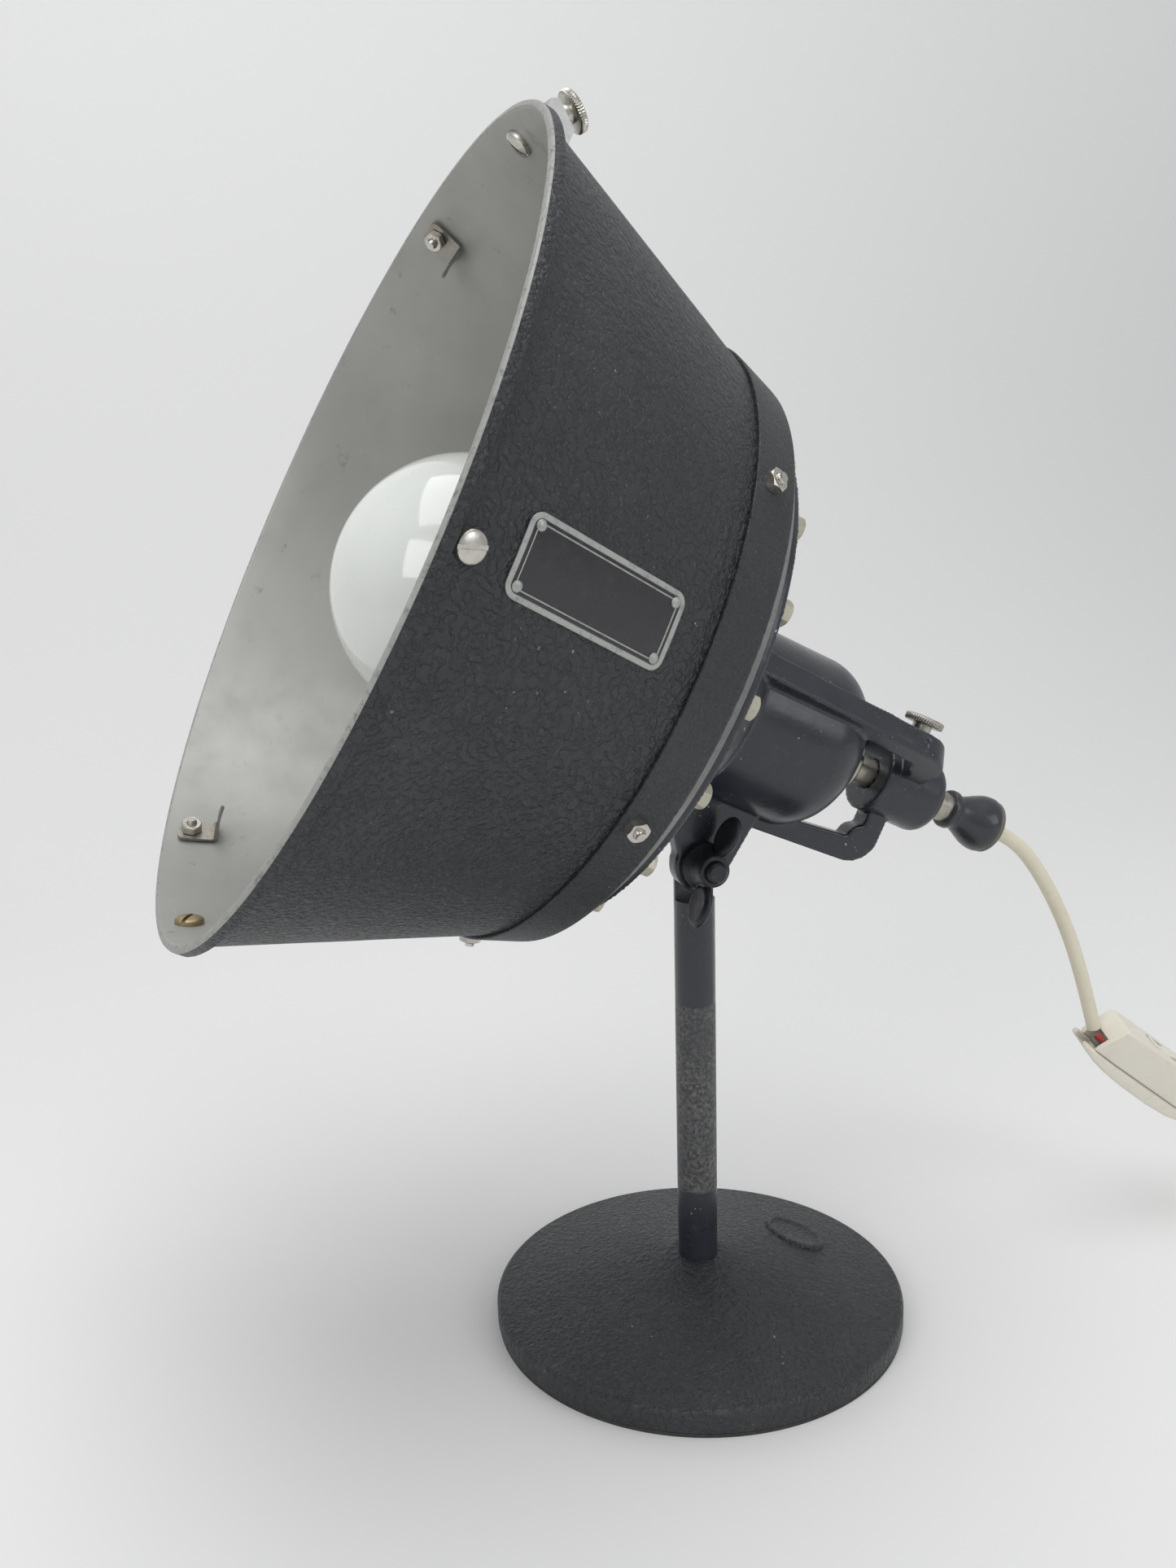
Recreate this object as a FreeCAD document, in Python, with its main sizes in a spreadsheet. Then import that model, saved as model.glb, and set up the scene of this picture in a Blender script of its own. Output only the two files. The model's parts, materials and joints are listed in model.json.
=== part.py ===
import FreeCAD, Part
import math
import os
import Sketcher

Vector = FreeCAD.Vector
Rotation = FreeCAD.Rotation
Placement = FreeCAD.Placement

os.makedirs("parts", exist_ok=True)
doc = FreeCAD.newDocument("TablePhotoLamp")

# ---------------------------------------------------------------------------
# Driving sizes, in millimetres and degrees.
# The stand is drawn in the lamp's own frame: Z up, origin under the base.
# The head is drawn about its own axis: x sideways, u up, s along the light,
# with s = 0 at the level of the tilt joint.
# ---------------------------------------------------------------------------
SIZES = {
    # general fits
    "turning_fit": 0.05,
    "close_fit": 0.02,
    "face_gap": 0.1,
    # base
    "base_radius": 83.0,
    "base_side": 11.0,
    "base_crown": 26.0,
    "base_round": 2.5,
    "base_wall": 5.0,
    "boss_radius": 14.0,
    "boss_depth": 14.0,
    "foot_height": 1.5,
    "foot_width": 8.0,
    "panel_back": 50.0,
    "panel_side": 11.0,
    "panel_length": 30.0,
    "panel_width": 19.0,
    "panel_height": 1.2,
    # post and its fixing
    "post_radius": 8.0,
    "spigot_radius": 6.0,
    "spigot_tail": 1.2,
    "post_nut_across": 19.0,
    "post_nut_height": 7.0,
    "post_washer_radius": 12.0,
    "post_washer_thick": 2.0,
    "joint_height": 193.0,
    "post_top": 16.0,
    "post_shoulder": 15.5,
    # tilt joint
    "stud_radius": 4.0,
    "stud_depth": 7.0,
    "stud_tail": 3.0,
    "lug_thickness": 8.0,
    "lug_radius": 11.0,
    "washer_radius": 9.0,
    "washer_thick": 1.6,
    "wing_hub_length": 10.1,
    "wing_hub_radius": 8.0,
    "wing_top_radius": 6.5,
    "wing_span": 25.0,
    "wing_thick": 4.0,
    "wing_flare": 4.0,
    "wing_angle": 95.0,
    # head
    "head_tilt": 26.7,
    "axis_height": 58.0,
    # shade
    "rim_radius": 149.5,
    "rim_front": 178.0,
    "rim_depth": 5.0,
    "rim_step": 3.4,
    "shade_sheet": 1.3,
    "skirt_rear": 71.5,
    # dish
    "dish_front": 82.5,
    "dish_radius": 114.4,
    "dish_corner": 65.4,
    "dish_corner_radius": 109.5,
    "dish_rear_radius": 100.5,
    "dish_hole_radius": 57.0,
    "dish_sheet": 1.5,
    # lamp house
    "flange_face": 58.5,
    "flange_thick": 4.0,
    "flange_radius": 98.0,
    "bell_radius": 60.0,
    "throat_radius": 36.5,
    "throat_face": 20.0,
    "barrel_radius": 34.0,
    "house_wall": 3.0,
    "barrel_rear": 18.0,
    "dome_radius": 20.0,
    "hub_radius": 15.0,
    "hub_front": 56.0,
    "hub_rear": 86.0,
    "hub_round": 5.0,
    "arm_count": 3.0,
    "arm_width": 10.0,
    "arm_reach": 40.0,
    "arm_groove": 5.0,
    "arm_groove_depth": 1.3,
    "bush_hole_radius": 8.0,
    # flange bolts
    "bolt_circle": 92.0,
    "bolt_count": 18.0,
    "bolt_radius": 2.5,
    "bolt_across": 8.0,
    "bolt_head": 4.0,
    "bolt_nut": 4.0,
    "bolt_tail": 1.5,
    # seam screws
    "seam_count": 6.0,
    "seam_phase": 35.0,
    "seam_face": 76.0,
    "seam_radius": 2.0,
    "seam_across": 7.0,
    "seam_nut": 3.2,
    "seam_head_radius": 4.0,
    "seam_head": 2.4,
    "seam_tail": 1.6,
    # clips inside the rim
    "clip_phase": 2.0,
    "clip_setback": 4.6,
    "clip_screw_radius": 1.9,
    "clip_head_radius": 4.7,
    "clip_head": 2.6,
    "clip_nut_across": 7.0,
    "clip_nut": 3.0,
    "clip_tail": 2.0,
    "clip_spacer": 0.6,
    "clip_spacer_radius": 4.5,
    "clip_sheet": 1.4,
    "clip_width": 11.0,
    "clip_front": 4.8,
    "clip_rear": 10.0,
    "clip_tongue": 14.0,
    # fixing screws and clamp at the rim
    "rim_screw_setback": 4.6,
    "rim_screw_radius": 2.2,
    "rim_screw_head_radius": 5.0,
    "rim_screw_head": 2.6,
    "rim_screw_length": 8.0,
    "rim_nut_across": 8.0,
    "rim_nut": 3.4,
    "block_width": 13.0,
    "block_setback": 6.6,
    "block_length": 11.4,
    "block_front_rise": 16.7,
    "block_rear_rise": 14.6,
    "block_nose": 2.6,
    "thumb_radius": 7.6,
    "thumb_thick": 3.0,
    "thumb_gap": 3.4,
    "thumb_shank_radius": 2.5,
    "thumb_shank": 4.0,
    # name plate
    "plate_phase": 4.0,
    "plate_face": 126.0,
    "plate_length": 58.0,
    "plate_width": 24.0,
    "plate_sheet": 0.8,
    "plate_round": 4.0,
    "rivet_inset": 3.6,
    "rivet_radius": 1.0,
    "rivet_head_radius": 1.7,
    "rivet_head": 0.8,
    # focusing tube, bush and lock
    "tube_radius": 6.0,
    "tube_bore": 4.5,
    "tube_front": 5.0,
    "tube_rear": 108.0,
    "bush_flange_radius": 12.0,
    "bush_flange_thick": 7.0,
    "bush_lip": 1.5,
    "lock_face": 70.0,
    "lock_shank_radius": 2.5,
    "lock_knob_radius": 8.0,
    "lock_knob_thick": 3.0,
    "lock_knob_top": 29.6,
    "lock_neck_radius": 4.0,
    # gland and lead
    "gland_front": 96.0,
    "gland_collar_radius": 8.0,
    "gland_collar": 3.5,
    "gland_waist_radius": 7.0,
    "gland_waist": 3.5,
    "gland_body_radius": 11.6,
    "gland_body": 14.0,
    "gland_ring_radius": 11.0,
    "gland_ring": 2.5,
    "cord_radius": 3.1,
    # lamp holder
    "carrier_radius": 20.0,
    "carrier_thick": 4.0,
    "holder_radius": 20.0,
    "holder_lip": 1.0,
    "holder_wall": 5.2,
    "holder_floor": 16.0,
    "shell_sheet": 0.6,
    "shell_length": 28.0,
    "cap_gap": 0.5,
    "contact_radius": 5.0,
    "contact_height": 3.0,
    "holder_screw_radius": 1.6,
    "holder_screw_circle": 10.5,
    # bulb
    "globe_radius": 47.5,
    "globe_face": 125.0,
    "glass_wall": 0.8,
    "cap_radius": 13.2,
    "cap_wall": 0.4,
    "cap_front": 63.0,
    "cap_rear": 37.0,
    "tip_radius": 4.5,
    "tip_height": 2.0,
    "stem_radius": 5.0,
    "stem_length": 50.0,
    # coil and plug
    "coil_back": 348.0,
    "coil_side": 40.3,
    "coil_radius": 37.0,
    "coil_columns": 3.0,
    "coil_height": 12.4,
    "plug_length": 36.0,
    "plug_width": 24.0,
    "plug_thick": 15.0,
    "plug_neck_radius": 4.8,
    "plug_neck": 9.0,
    "pin_radius": 2.4,
    "pin_length": 19.0,
    "pin_spacing": 19.0,
    # cord switch
    "switch_back": 190.5,
    "switch_high": 96.0,
    "switch_length": 75.0,
    "switch_width": 26.0,
    "switch_nose": 12.0,
    "switch_floor_height": 7.0,
    "switch_cover_height": 13.0,
    "switch_wall": 2.0,
    "rocker_length": 17.0,
    "rocker_width": 9.0,
    "rocker_height": 3.0,
    "rocker_axle_radius": 0.8,
    "rocker_rib": 2.0,
    "switch_screw_radius": 1.5,
    "contact_length": 14.0,
}

sheet = doc.addObject("Spreadsheet::Sheet", "sizes")
for row, (name, value) in enumerate(SIZES.items(), 1):
    sheet.set("A%d" % row, name)
    sheet.set("B%d" % row, str(value))
    sheet.setAlias("B%d" % row, name)
doc.recompute()


class Length:
    """A number together with the sheet expression that gives it."""

    def __init__(self, value, text):
        self.value = value
        self.text = text

    def __add__(self, other):
        other = length(other)
        return Length(self.value + other.value, "(%s + %s)" % (self.text, other.text))

    def __sub__(self, other):
        other = length(other)
        return Length(self.value - other.value, "(%s - %s)" % (self.text, other.text))

    def __mul__(self, other):
        other = length(other)
        return Length(self.value * other.value, "(%s * %s)" % (self.text, other.text))

    def __truediv__(self, other):
        other = length(other)
        return Length(self.value / other.value, "(%s / %s)" % (self.text, other.text))

    def __neg__(self):
        return Length(-self.value, "(0 - %s)" % self.text)


def length(item):
    """Wrap a plain number, or pass a Length through."""
    if isinstance(item, Length):
        return item
    return Length(float(item), repr(float(item)))


def root(item):
    """Square root of a Length."""
    item = length(item)
    return Length(math.sqrt(item.value), "sqrt(%s)" % item.text)


class Named:
    """Gives each size of the sheet as a Length: size.post_radius and so on."""

    def __getattr__(self, name):
        return Length(SIZES[name], "sizes.%s" % name)


size = Named()
ZERO = length(0)

# ---------------------------------------------------------------------------
# Drawing helpers
# ---------------------------------------------------------------------------


def new_body(label, placement=None):
    """A PartDesign body; several equal pieces may share it."""
    body = doc.addObject("PartDesign::Body", label)
    body.Label = label
    body.AllowCompound = True
    if placement is not None:
        body.Placement = placement
    return body


def origin_item(body, role):
    return [item for item in body.Origin.OriginFeatures if item.Role == role][0]


def pin_point(sketch, geometry, corner, x, y):
    """Fix one sketch point at x, y, both bound to the sheet."""
    for axis, datum, place in (("DistanceX", -2, x), ("DistanceY", -1, y)):
        if abs(place.value) < 1e-9:
            sketch.addConstraint(Sketcher.Constraint("PointOnObject", geometry, corner, datum))
            continue
        index = sketch.addConstraint(
            Sketcher.Constraint(axis, -1, 1, geometry, corner, place.value))
        sketch.setExpression("Constraints[%d]" % index, place.text)


def arc_edge(start, end, radius, turn):
    """The short arc from start to end; turn is +1 to the left, -1 to the right."""
    chord = end - start
    span = chord.Length
    side = Vector(-chord.y, chord.x, 0) * (turn / span)
    lift = math.sqrt(max(radius * radius - span * span / 4, 0.0))
    centre = (start + end) * 0.5 + side * lift
    first, last = (start, end) if turn > 0 else (end, start)
    angles = [math.atan2(p.y - centre.y, p.x - centre.x) for p in (first, last)]
    if angles[1] < angles[0]:
        angles[1] += 2 * math.pi
    circle = Part.Circle(centre, Vector(0, 0, 1), radius)
    return Part.ArcOfCircle(circle, angles[0], angles[1])


def draw_loop(sketch, points):
    """A closed outline. A point is (x, y) or (x, y, radius, turn) for an arc ending there."""
    rows = [tuple(length(v) for v in p[:2]) + tuple(p[2:]) for p in points]
    flat = [Vector(p[0].value, p[1].value, 0) for p in rows]
    ends = []
    for k, start in enumerate(flat):
        target = (k + 1) % len(flat)
        extra = rows[target][2:]
        if extra:
            radius = length(extra[0])
            edge = sketch.addGeometry(arc_edge(start, flat[target], radius.value, extra[1]), False)
            index = sketch.addConstraint(Sketcher.Constraint("Radius", edge, radius.value))
            sketch.setExpression("Constraints[%d]" % index, radius.text)
            ends.append((edge, 1, 2) if extra[1] > 0 else (edge, 2, 1))
        else:
            edge = sketch.addGeometry(Part.LineSegment(start, flat[target]), False)
            ends.append((edge, 1, 2))
    for k, (edge, first, last) in enumerate(ends):
        following = ends[(k + 1) % len(ends)]
        sketch.addConstraint(
            Sketcher.Constraint("Coincident", edge, last, following[0], following[1]))
        pin_point(sketch, edge, first, rows[k][0], rows[k][1])


def draw_circle(sketch, x, y, radius):
    x, y, radius = length(x), length(y), length(radius)
    circle = Part.Circle(Vector(x.value, y.value, 0), Vector(0, 0, 1), radius.value)
    edge = sketch.addGeometry(circle, False)
    pin_point(sketch, edge, 3, x, y)
    index = sketch.addConstraint(Sketcher.Constraint("Radius", edge, radius.value))
    sketch.setExpression("Constraints[%d]" % index, radius.text)


def new_sketch(body, role, lift=None, frame=None):
    """A sketch on one of the body's own planes, lifted along its normal if wanted."""
    sketch = body.newObject("Sketcher::SketchObject", "%s_sketch" % body.Label)
    sketch.AttachmentSupport = [(origin_item(body, role), "")]
    sketch.MapMode = "FlatFace"
    if frame is not None:
        sketch.AttachmentOffset = frame
    if lift is not None:
        lift = length(lift)
        sketch.AttachmentOffset = Placement(Vector(0, 0, lift.value), Rotation())
        sketch.setExpression("AttachmentOffset.Base.z", lift.text)
    return sketch


def revolve(body, loops, feature="Revolution"):
    """Turn closed outlines of (radius, height) about the body's Z axis."""
    sketch = new_sketch(body, "XZ_Plane")
    for points in loops:
        draw_loop(sketch, points)
    turned = body.newObject("PartDesign::%s" % feature, "%s_turned" % body.Label)
    turned.Profile = sketch
    turned.ReferenceAxis = (sketch, ["V_Axis"])
    turned.Angle = 360
    sketch.Visibility = False
    return turned


def extrude(body, sketch, amount, midplane=False, flip=False, cut=False):
    """Pad or pocket a sketch by an amount bound to the sheet."""
    kind = "Pocket" if cut else "Pad"
    feature = body.newObject("PartDesign::%s" % kind, "%s_%s" % (body.Label, kind.lower()))
    feature.Profile = sketch
    amount = length(amount)
    feature.Length = amount.value
    feature.setExpression("Length", amount.text)
    if midplane:
        feature.SideType = "Symmetric"
    feature.Reversed = flip
    return feature


def polar(body, features, count):
    """Repeat features evenly about the body's Z axis."""
    pattern = body.newObject("PartDesign::PolarPattern", "%s_pattern" % body.Label)
    pattern.Originals = features
    pattern.Axis = (origin_item(body, "Z_Axis"), [""])
    pattern.Angle = 360
    count = length(count)
    pattern.Occurrences = int(count.value)
    pattern.setExpression("Occurrences", count.text)
    body.Tip = pattern
    return pattern


def hexagon(across):
    """Corners of a hexagon of the given width across flats."""
    corner = length(across) / root(3)
    half = corner / 2
    rise = length(across) / 2
    return [(corner, ZERO), (half, rise), (-half, rise),
            (-corner, ZERO), (-half, -rise), (half, -rise)]


def rectangle(low_x, low_y, high_x, high_y):
    return [(low_x, low_y), (high_x, low_y), (high_x, high_y), (low_x, high_y)]


def hex_nut(label, across, height, bore, placement=None):
    """A hexagonal nut standing on z = 0."""
    body = new_body(label, placement)
    sketch = new_sketch(body, "XY_Plane")
    draw_loop(sketch, hexagon(across))
    draw_circle(sketch, 0, 0, bore)
    extrude(body, sketch, height)
    return body


def ring(label, inner, outer, low, high, placement=None):
    """A plain ring or washer between two heights."""
    body = new_body(label, placement)
    revolve(body, [rectangle(inner, low, outer, high)])
    return body


def screw(label, head_radius, head, radius, reach, slot=None):
    """A domed screw: head above z = 0, shank down to -reach, slot across the head."""
    body = new_body(label)
    crown = length(head) * 0.45
    shoulder = length(head) - crown
    bow = (length(head_radius) * head_radius + crown * crown) / (crown * 2)
    revolve(body, [[(ZERO, -length(reach)), (radius, -length(reach)), (radius, ZERO),
                    (head_radius, ZERO), (head_radius, shoulder),
                    (ZERO, length(head), bow, 1)]])
    if slot is not None:
        sketch = new_sketch(body, "XZ_Plane")
        width, depth = slot
        draw_loop(sketch, rectangle(-length(width) / 2, length(head) - depth,
                                    length(width) / 2, length(head) + 1))
        extrude(body, sketch, length(head_radius) * 2 + 2, midplane=True, cut=True)
    return body


def copies(label, pattern, places):
    """One node holding a copy of the pattern piece at each place."""
    doc.recompute()
    pattern.Label = "%s_pattern" % label
    shapes = []
    for place in places:
        shape = pattern.Shape.copy()
        shape.Placement = place.multiply(shape.Placement)
        shapes.append(shape)
    node = doc.addObject("Part::Feature", label)
    node.Shape = Part.Compound([solid for shape in shapes for solid in shape.Solids])
    node.Label = label
    return node


def drilled(label, blank, drills):
    """Cut straight round holes: each drill is (place, radius, low, high) along its own z."""
    doc.recompute()
    cutters = []
    for place, radius, low, high in drills:
        cutter = Part.makeCylinder(radius, high - low, Vector(0, 0, low))
        cutter.Placement = place
        cutters.append(cutter)
    tool = doc.addObject("Part::Feature", "%s_drills" % label)
    tool.Shape = Part.Compound(cutters)
    blank.Label = "%s_blank" % label
    cut = doc.addObject("Part::Cut", label)
    cut.Base = blank
    cut.Tool = tool
    cut.Label = label
    return cut


def value(item):
    return length(item).value


# ---------------------------------------------------------------------------
# Frames
# ---------------------------------------------------------------------------
JOINT = Vector(0, 0, SIZES["joint_height"])
TILT = math.radians(SIZES["head_tilt"])
LIGHT = Vector(0, -math.cos(TILT), math.sin(TILT))
UPWARD = Vector(0, math.sin(TILT), math.cos(TILT))
HEAD = Placement(JOINT + UPWARD * SIZES["axis_height"],
                 Rotation(Vector(1, 0, 0), 90 - SIZES["head_tilt"]))
HINGE = Placement(JOINT, Rotation(Vector(0, 1, 0), 90))


def about_axis(angle):
    """The head's frame turned about the light axis."""
    return HEAD.multiply(Placement(Vector(), Rotation(Vector(0, 0, 1), angle)))


def on_wall(angle, radius, face, slope, outward=True):
    """A place on a conical wall of the head; its z is the wall's normal."""
    tilt = math.degrees(math.atan(slope))
    turn = 90 + tilt if outward else -90 + tilt
    local = Placement(Vector(radius, 0, face), Rotation(Vector(0, 1, 0), turn))
    return about_axis(angle).multiply(local)


# ---------------------------------------------------------------------------
# Base and post
# ---------------------------------------------------------------------------
boss_floor = size.base_crown - size.boss_depth
spigot_end = boss_floor - size.post_washer_thick - size.post_nut_height - size.spigot_tail
crown_edge = size.boss_radius
crown_lip = size.base_crown - 0.8
edge_start = size.base_radius - size.base_round
inner_edge = size.base_radius - size.foot_width
slope_run = edge_start - crown_edge
slope_rise = crown_lip - size.base_side
inner_rise = crown_lip - size.base_wall - slope_rise * 2 / slope_run

base = new_body("base_casting")
revolve(base, [[
    (size.spigot_radius + size.close_fit, boss_floor),
    (size.boss_radius, boss_floor),
    (size.boss_radius + 2, inner_rise),
    (inner_edge, size.base_side - size.base_wall),
    (inner_edge, size.foot_height),
    (size.base_radius, size.foot_height),
    (size.base_radius, size.base_side - size.base_round),
    (edge_start, size.base_side, size.base_round, 1),
    (crown_edge, crown_lip),
    (size.boss_radius - 2, size.base_crown),
    (size.spigot_radius + size.close_fit, size.base_crown),
]])
panel_distance = math.hypot(SIZES["panel_back"], SIZES["panel_side"])
panel_slope = math.atan(value(slope_rise / slope_run))
panel_turn = math.degrees(math.atan2(SIZES["panel_back"], -SIZES["panel_side"]))
panel_height = value(size.base_side) + (value(edge_start) - panel_distance) * math.tan(panel_slope)
panel_place = Placement(Vector(), Rotation(Vector(0, 0, 1), panel_turn)).multiply(
    Placement(Vector(panel_distance, 0, panel_height),
              Rotation(Vector(0, 1, 0), math.degrees(panel_slope))))
panel = new_sketch(base, "XY_Plane", frame=panel_place.multiply(
    Placement(Vector(0, 0, SIZES["panel_height"]), Rotation())))
round_end = size.panel_width / 2
straight = size.panel_length / 2 - round_end
draw_loop(panel, [
    (-round_end, -straight), (ZERO, -straight - round_end, round_end, 1),
    (round_end, -straight, round_end, 1), (round_end, straight),
    (ZERO, straight + round_end, round_end, 1), (-round_end, straight, round_end, 1),
])
extrude(base, panel, size.panel_height + size.base_wall / 2, flip=True)

ring("foot_ring", inner_edge + size.face_gap, size.base_radius - size.base_wall / 10,
     ZERO, size.foot_height)

post = new_body("post")
post_head = size.joint_height + size.post_top
revolve(post, [[
    (ZERO, spigot_end), (size.spigot_radius - 0.8, spigot_end),
    (size.spigot_radius, spigot_end + 0.8), (size.spigot_radius, size.base_crown),
    (size.post_radius, size.base_crown), (size.post_radius, post_head - 1),
    (size.post_radius - 1, post_head), (ZERO, post_head),
]])
step = new_sketch(post, "YZ_Plane")
draw_loop(step, rectangle(-size.post_radius - 1, size.joint_height - size.post_shoulder,
                          size.post_radius + 1, post_head + 1))
extrude(post, step, size.post_radius + 1, flip=True, cut=True)
socket = new_sketch(post, "YZ_Plane")
draw_circle(socket, 0, size.joint_height, size.stud_radius)
extrude(post, socket, size.stud_depth, cut=True)

ring("post_washer", size.spigot_radius + size.face_gap, size.post_washer_radius,
     boss_floor - size.post_washer_thick, boss_floor)
nut_floor = boss_floor - size.post_washer_thick - size.post_nut_height
hex_nut("post_nut", size.post_nut_across, size.post_nut_height,
        size.spigot_radius + size.close_fit, Placement(Vector(0, 0, value(nut_floor)), Rotation()))

# ---------------------------------------------------------------------------
# Tilt joint: stud in the post, washer and wing nut outside the lug
# ---------------------------------------------------------------------------
lug_face = size.face_gap
washer_face = lug_face + size.lug_thickness + size.face_gap
wing_face = washer_face + size.washer_thick + size.face_gap
stud_end = wing_face + size.wing_hub_length + size.stud_tail

stud = new_body("hinge_stud", HINGE)
revolve(stud, [[
    (ZERO, -size.stud_depth), (size.stud_radius, -size.stud_depth),
    (size.stud_radius, stud_end - 0.8), (size.stud_radius - 0.8, stud_end), (ZERO, stud_end),
]])
ring("hinge_washer", size.stud_radius + size.face_gap, size.washer_radius,
     washer_face, washer_face + size.washer_thick, HINGE)

WING = HINGE.multiply(Placement(Vector(), Rotation(
    Vector(0, 0, 1), 270 - SIZES["head_tilt"] - SIZES["wing_angle"])))
wing_nut = new_body("wing_nut", WING)
wing_bore = size.stud_radius + size.turning_fit
wing_end = wing_face + size.wing_hub_length
revolve(wing_nut, [[
    (wing_bore, wing_face), (size.wing_hub_radius, wing_face),
    (size.wing_top_radius, wing_end - 1), (size.wing_top_radius - 1, wing_end),
    (wing_bore, wing_end),
]])
wing = new_sketch(wing_nut, "XZ_Plane")
wing_root = wing_bore + 1
draw_loop(wing, [
    (wing_root, wing_face + 2), (size.wing_hub_radius + 3, wing_face + 3),
    (size.wing_span - 2, wing_end - 3), (size.wing_span, wing_end - 1),
    (size.wing_span, wing_end + size.wing_flare - 2),
    (size.wing_span - 2, wing_end + size.wing_flare),
    (size.wing_span - 9, wing_end + 1), (wing_root, wing_end - 1.5),
])
wing_pad = extrude(wing_nut, wing, size.wing_thick, midplane=True)
polar(wing_nut, [wing_pad], 2)

# ---------------------------------------------------------------------------
# Lamp house casting
# ---------------------------------------------------------------------------
flange_rear = size.flange_face - size.flange_thick
barrel_bore = size.barrel_radius - size.house_wall
dome_middle = size.barrel_radius - size.dome_radius
dome_rear = -size.barrel_rear - size.dome_radius
dome_inside = size.dome_radius - size.house_wall
tube_hole = size.tube_radius + size.turning_fit

house = new_body("lamp_house_body", HEAD)
revolve(house, [
    [
        (size.bush_hole_radius + size.close_fit, dome_rear + size.house_wall),
        (size.bush_hole_radius + size.close_fit, dome_rear),
        (dome_middle, dome_rear),
        (size.barrel_radius, -size.barrel_rear, size.dome_radius, 1),
        (size.barrel_radius, size.throat_face - 2),
        (size.throat_radius, size.throat_face),
        (size.bell_radius, flange_rear),
        (size.flange_radius, flange_rear),
        (size.flange_radius, size.flange_face),
        (size.bell_radius - size.house_wall * 2, size.flange_face),
        (size.bell_radius - size.house_wall * 2, flange_rear),
        (barrel_bore, size.throat_face + 1),
        (barrel_bore, -size.barrel_rear),
        (dome_middle, dome_rear + size.house_wall, dome_inside, -1),
    ],
])
revolve(house, [[
    (tube_hole, -size.hub_rear),
    (size.hub_radius - size.hub_round, -size.hub_rear),
    (size.hub_radius, -size.hub_rear + size.hub_round, size.hub_round, 1),
    (size.hub_radius, -size.hub_front),
    (tube_hole, -size.hub_front),
]])
arm_in = size.barrel_radius - size.house_wall / 2
arm_out = size.arm_reach
arm_foot = size.arm_reach - 4
arm_tail = -size.hub_front - 14
arm = new_sketch(house, "YZ_Plane")
hub_bury = size.hub_radius - 2
draw_loop(arm, [
    (-arm_in, size.throat_face - 5), (-arm_in, -size.barrel_rear + 1),
    (-arm_in + 3.5, -size.barrel_rear - 10),
    (-arm_foot + 10, -size.hub_front), (-arm_foot + 16, -size.hub_front - 5, length(6), -1),
    (-hub_bury, -size.hub_front - 5), (-hub_bury, arm_tail),
    (-arm_foot + 11, arm_tail), (-arm_foot, -size.hub_front - 2, length(13), -1),
    (-arm_out, size.throat_face + 5),
])
arm_pad = extrude(house, arm, size.arm_width, midplane=True)
polar(house, [arm_pad], size.arm_count)
lug = new_sketch(house, "YZ_Plane", lift=lug_face)
lug_middle = size.axis_height
draw_loop(lug, [
    (-arm_in, -14), (-lug_middle, -size.lug_radius),
    (-lug_middle - size.lug_radius, ZERO, size.lug_radius, -1),
    (-lug_middle, size.lug_radius, size.lug_radius, -1),
    (-arm_out, size.throat_face + 5), (-arm_in, size.throat_face - 4),
])
extrude(house, lug, size.lug_thickness)
bolt_hole = new_sketch(house, "YZ_Plane")
draw_circle(bolt_hole, -lug_middle, 0, size.stud_radius + size.turning_fit)
extrude(house, bolt_hole, lug_face + size.lug_thickness + 1, flip=True, cut=True)
groove = new_sketch(house, "YZ_Plane")
draw_loop(groove, [
    (-arm_out + size.arm_groove_depth, -size.barrel_rear - 2),
    (-arm_foot + size.arm_groove_depth, -size.hub_front),
    (-arm_foot - 4, -size.hub_front),
    (-arm_out - 4, -size.barrel_rear - 2),
])
groove_cut = extrude(house, groove, size.arm_groove, midplane=True, cut=True)
polar(house, [groove_cut], size.arm_count)

# ---------------------------------------------------------------------------
# Dish and shade
# ---------------------------------------------------------------------------
dish_slope = (size.dish_radius - size.dish_corner_radius) / (size.dish_front - size.dish_corner)
dish_wall = size.dish_sheet * root(dish_slope * dish_slope + 1)
rear_slope = (size.dish_corner_radius - size.dish_rear_radius) / (size.dish_corner
                                                                  - size.flange_face)
annulus = size.flange_face + size.dish_sheet
dish = new_body("rear_dish_body", HEAD)
revolve(dish, [[
    (size.dish_hole_radius, size.flange_face), (size.dish_rear_radius, size.flange_face),
    (size.dish_corner_radius, size.dish_corner), (size.dish_radius, size.dish_front),
    (size.dish_radius - dish_wall, size.dish_front),
    (size.dish_corner_radius - dish_wall, size.dish_corner + size.dish_sheet * 0.4),
    (size.dish_rear_radius - size.dish_sheet, annulus),
    (size.dish_hole_radius, annulus),
]])

skirt_front = size.dish_radius - dish_wall - size.close_fit
skirt_end = skirt_front - dish_slope * (size.dish_front - size.skirt_rear)
rim_rear = size.rim_front - size.rim_depth
cone_front = size.rim_radius - size.rim_step
cone_slope = (cone_front - skirt_front) / (rim_rear - size.dish_front)
shade = new_body("shade_cone_body", HEAD)
revolve(shade, [[
    (skirt_end, size.skirt_rear), (skirt_front, size.dish_front), (cone_front, rim_rear),
    (size.rim_radius - 0.8, rim_rear), (size.rim_radius, rim_rear + 1),
    (size.rim_radius, size.rim_front - 1), (size.rim_radius - 1, size.rim_front),
    (cone_front + cone_slope * size.rim_depth - size.shade_sheet, size.rim_front),
    (skirt_front - size.shade_sheet, size.dish_front),
    (skirt_end - size.shade_sheet, size.skirt_rear),
]])


def cone_radius(face):
    """Outer radius of the shade at a face."""
    return skirt_front + cone_slope * (length(face) - size.dish_front)


def dish_side(face):
    """Outer radius of the dish's side wall at a face."""
    return size.dish_radius - dish_slope * (size.dish_front - face)


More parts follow.
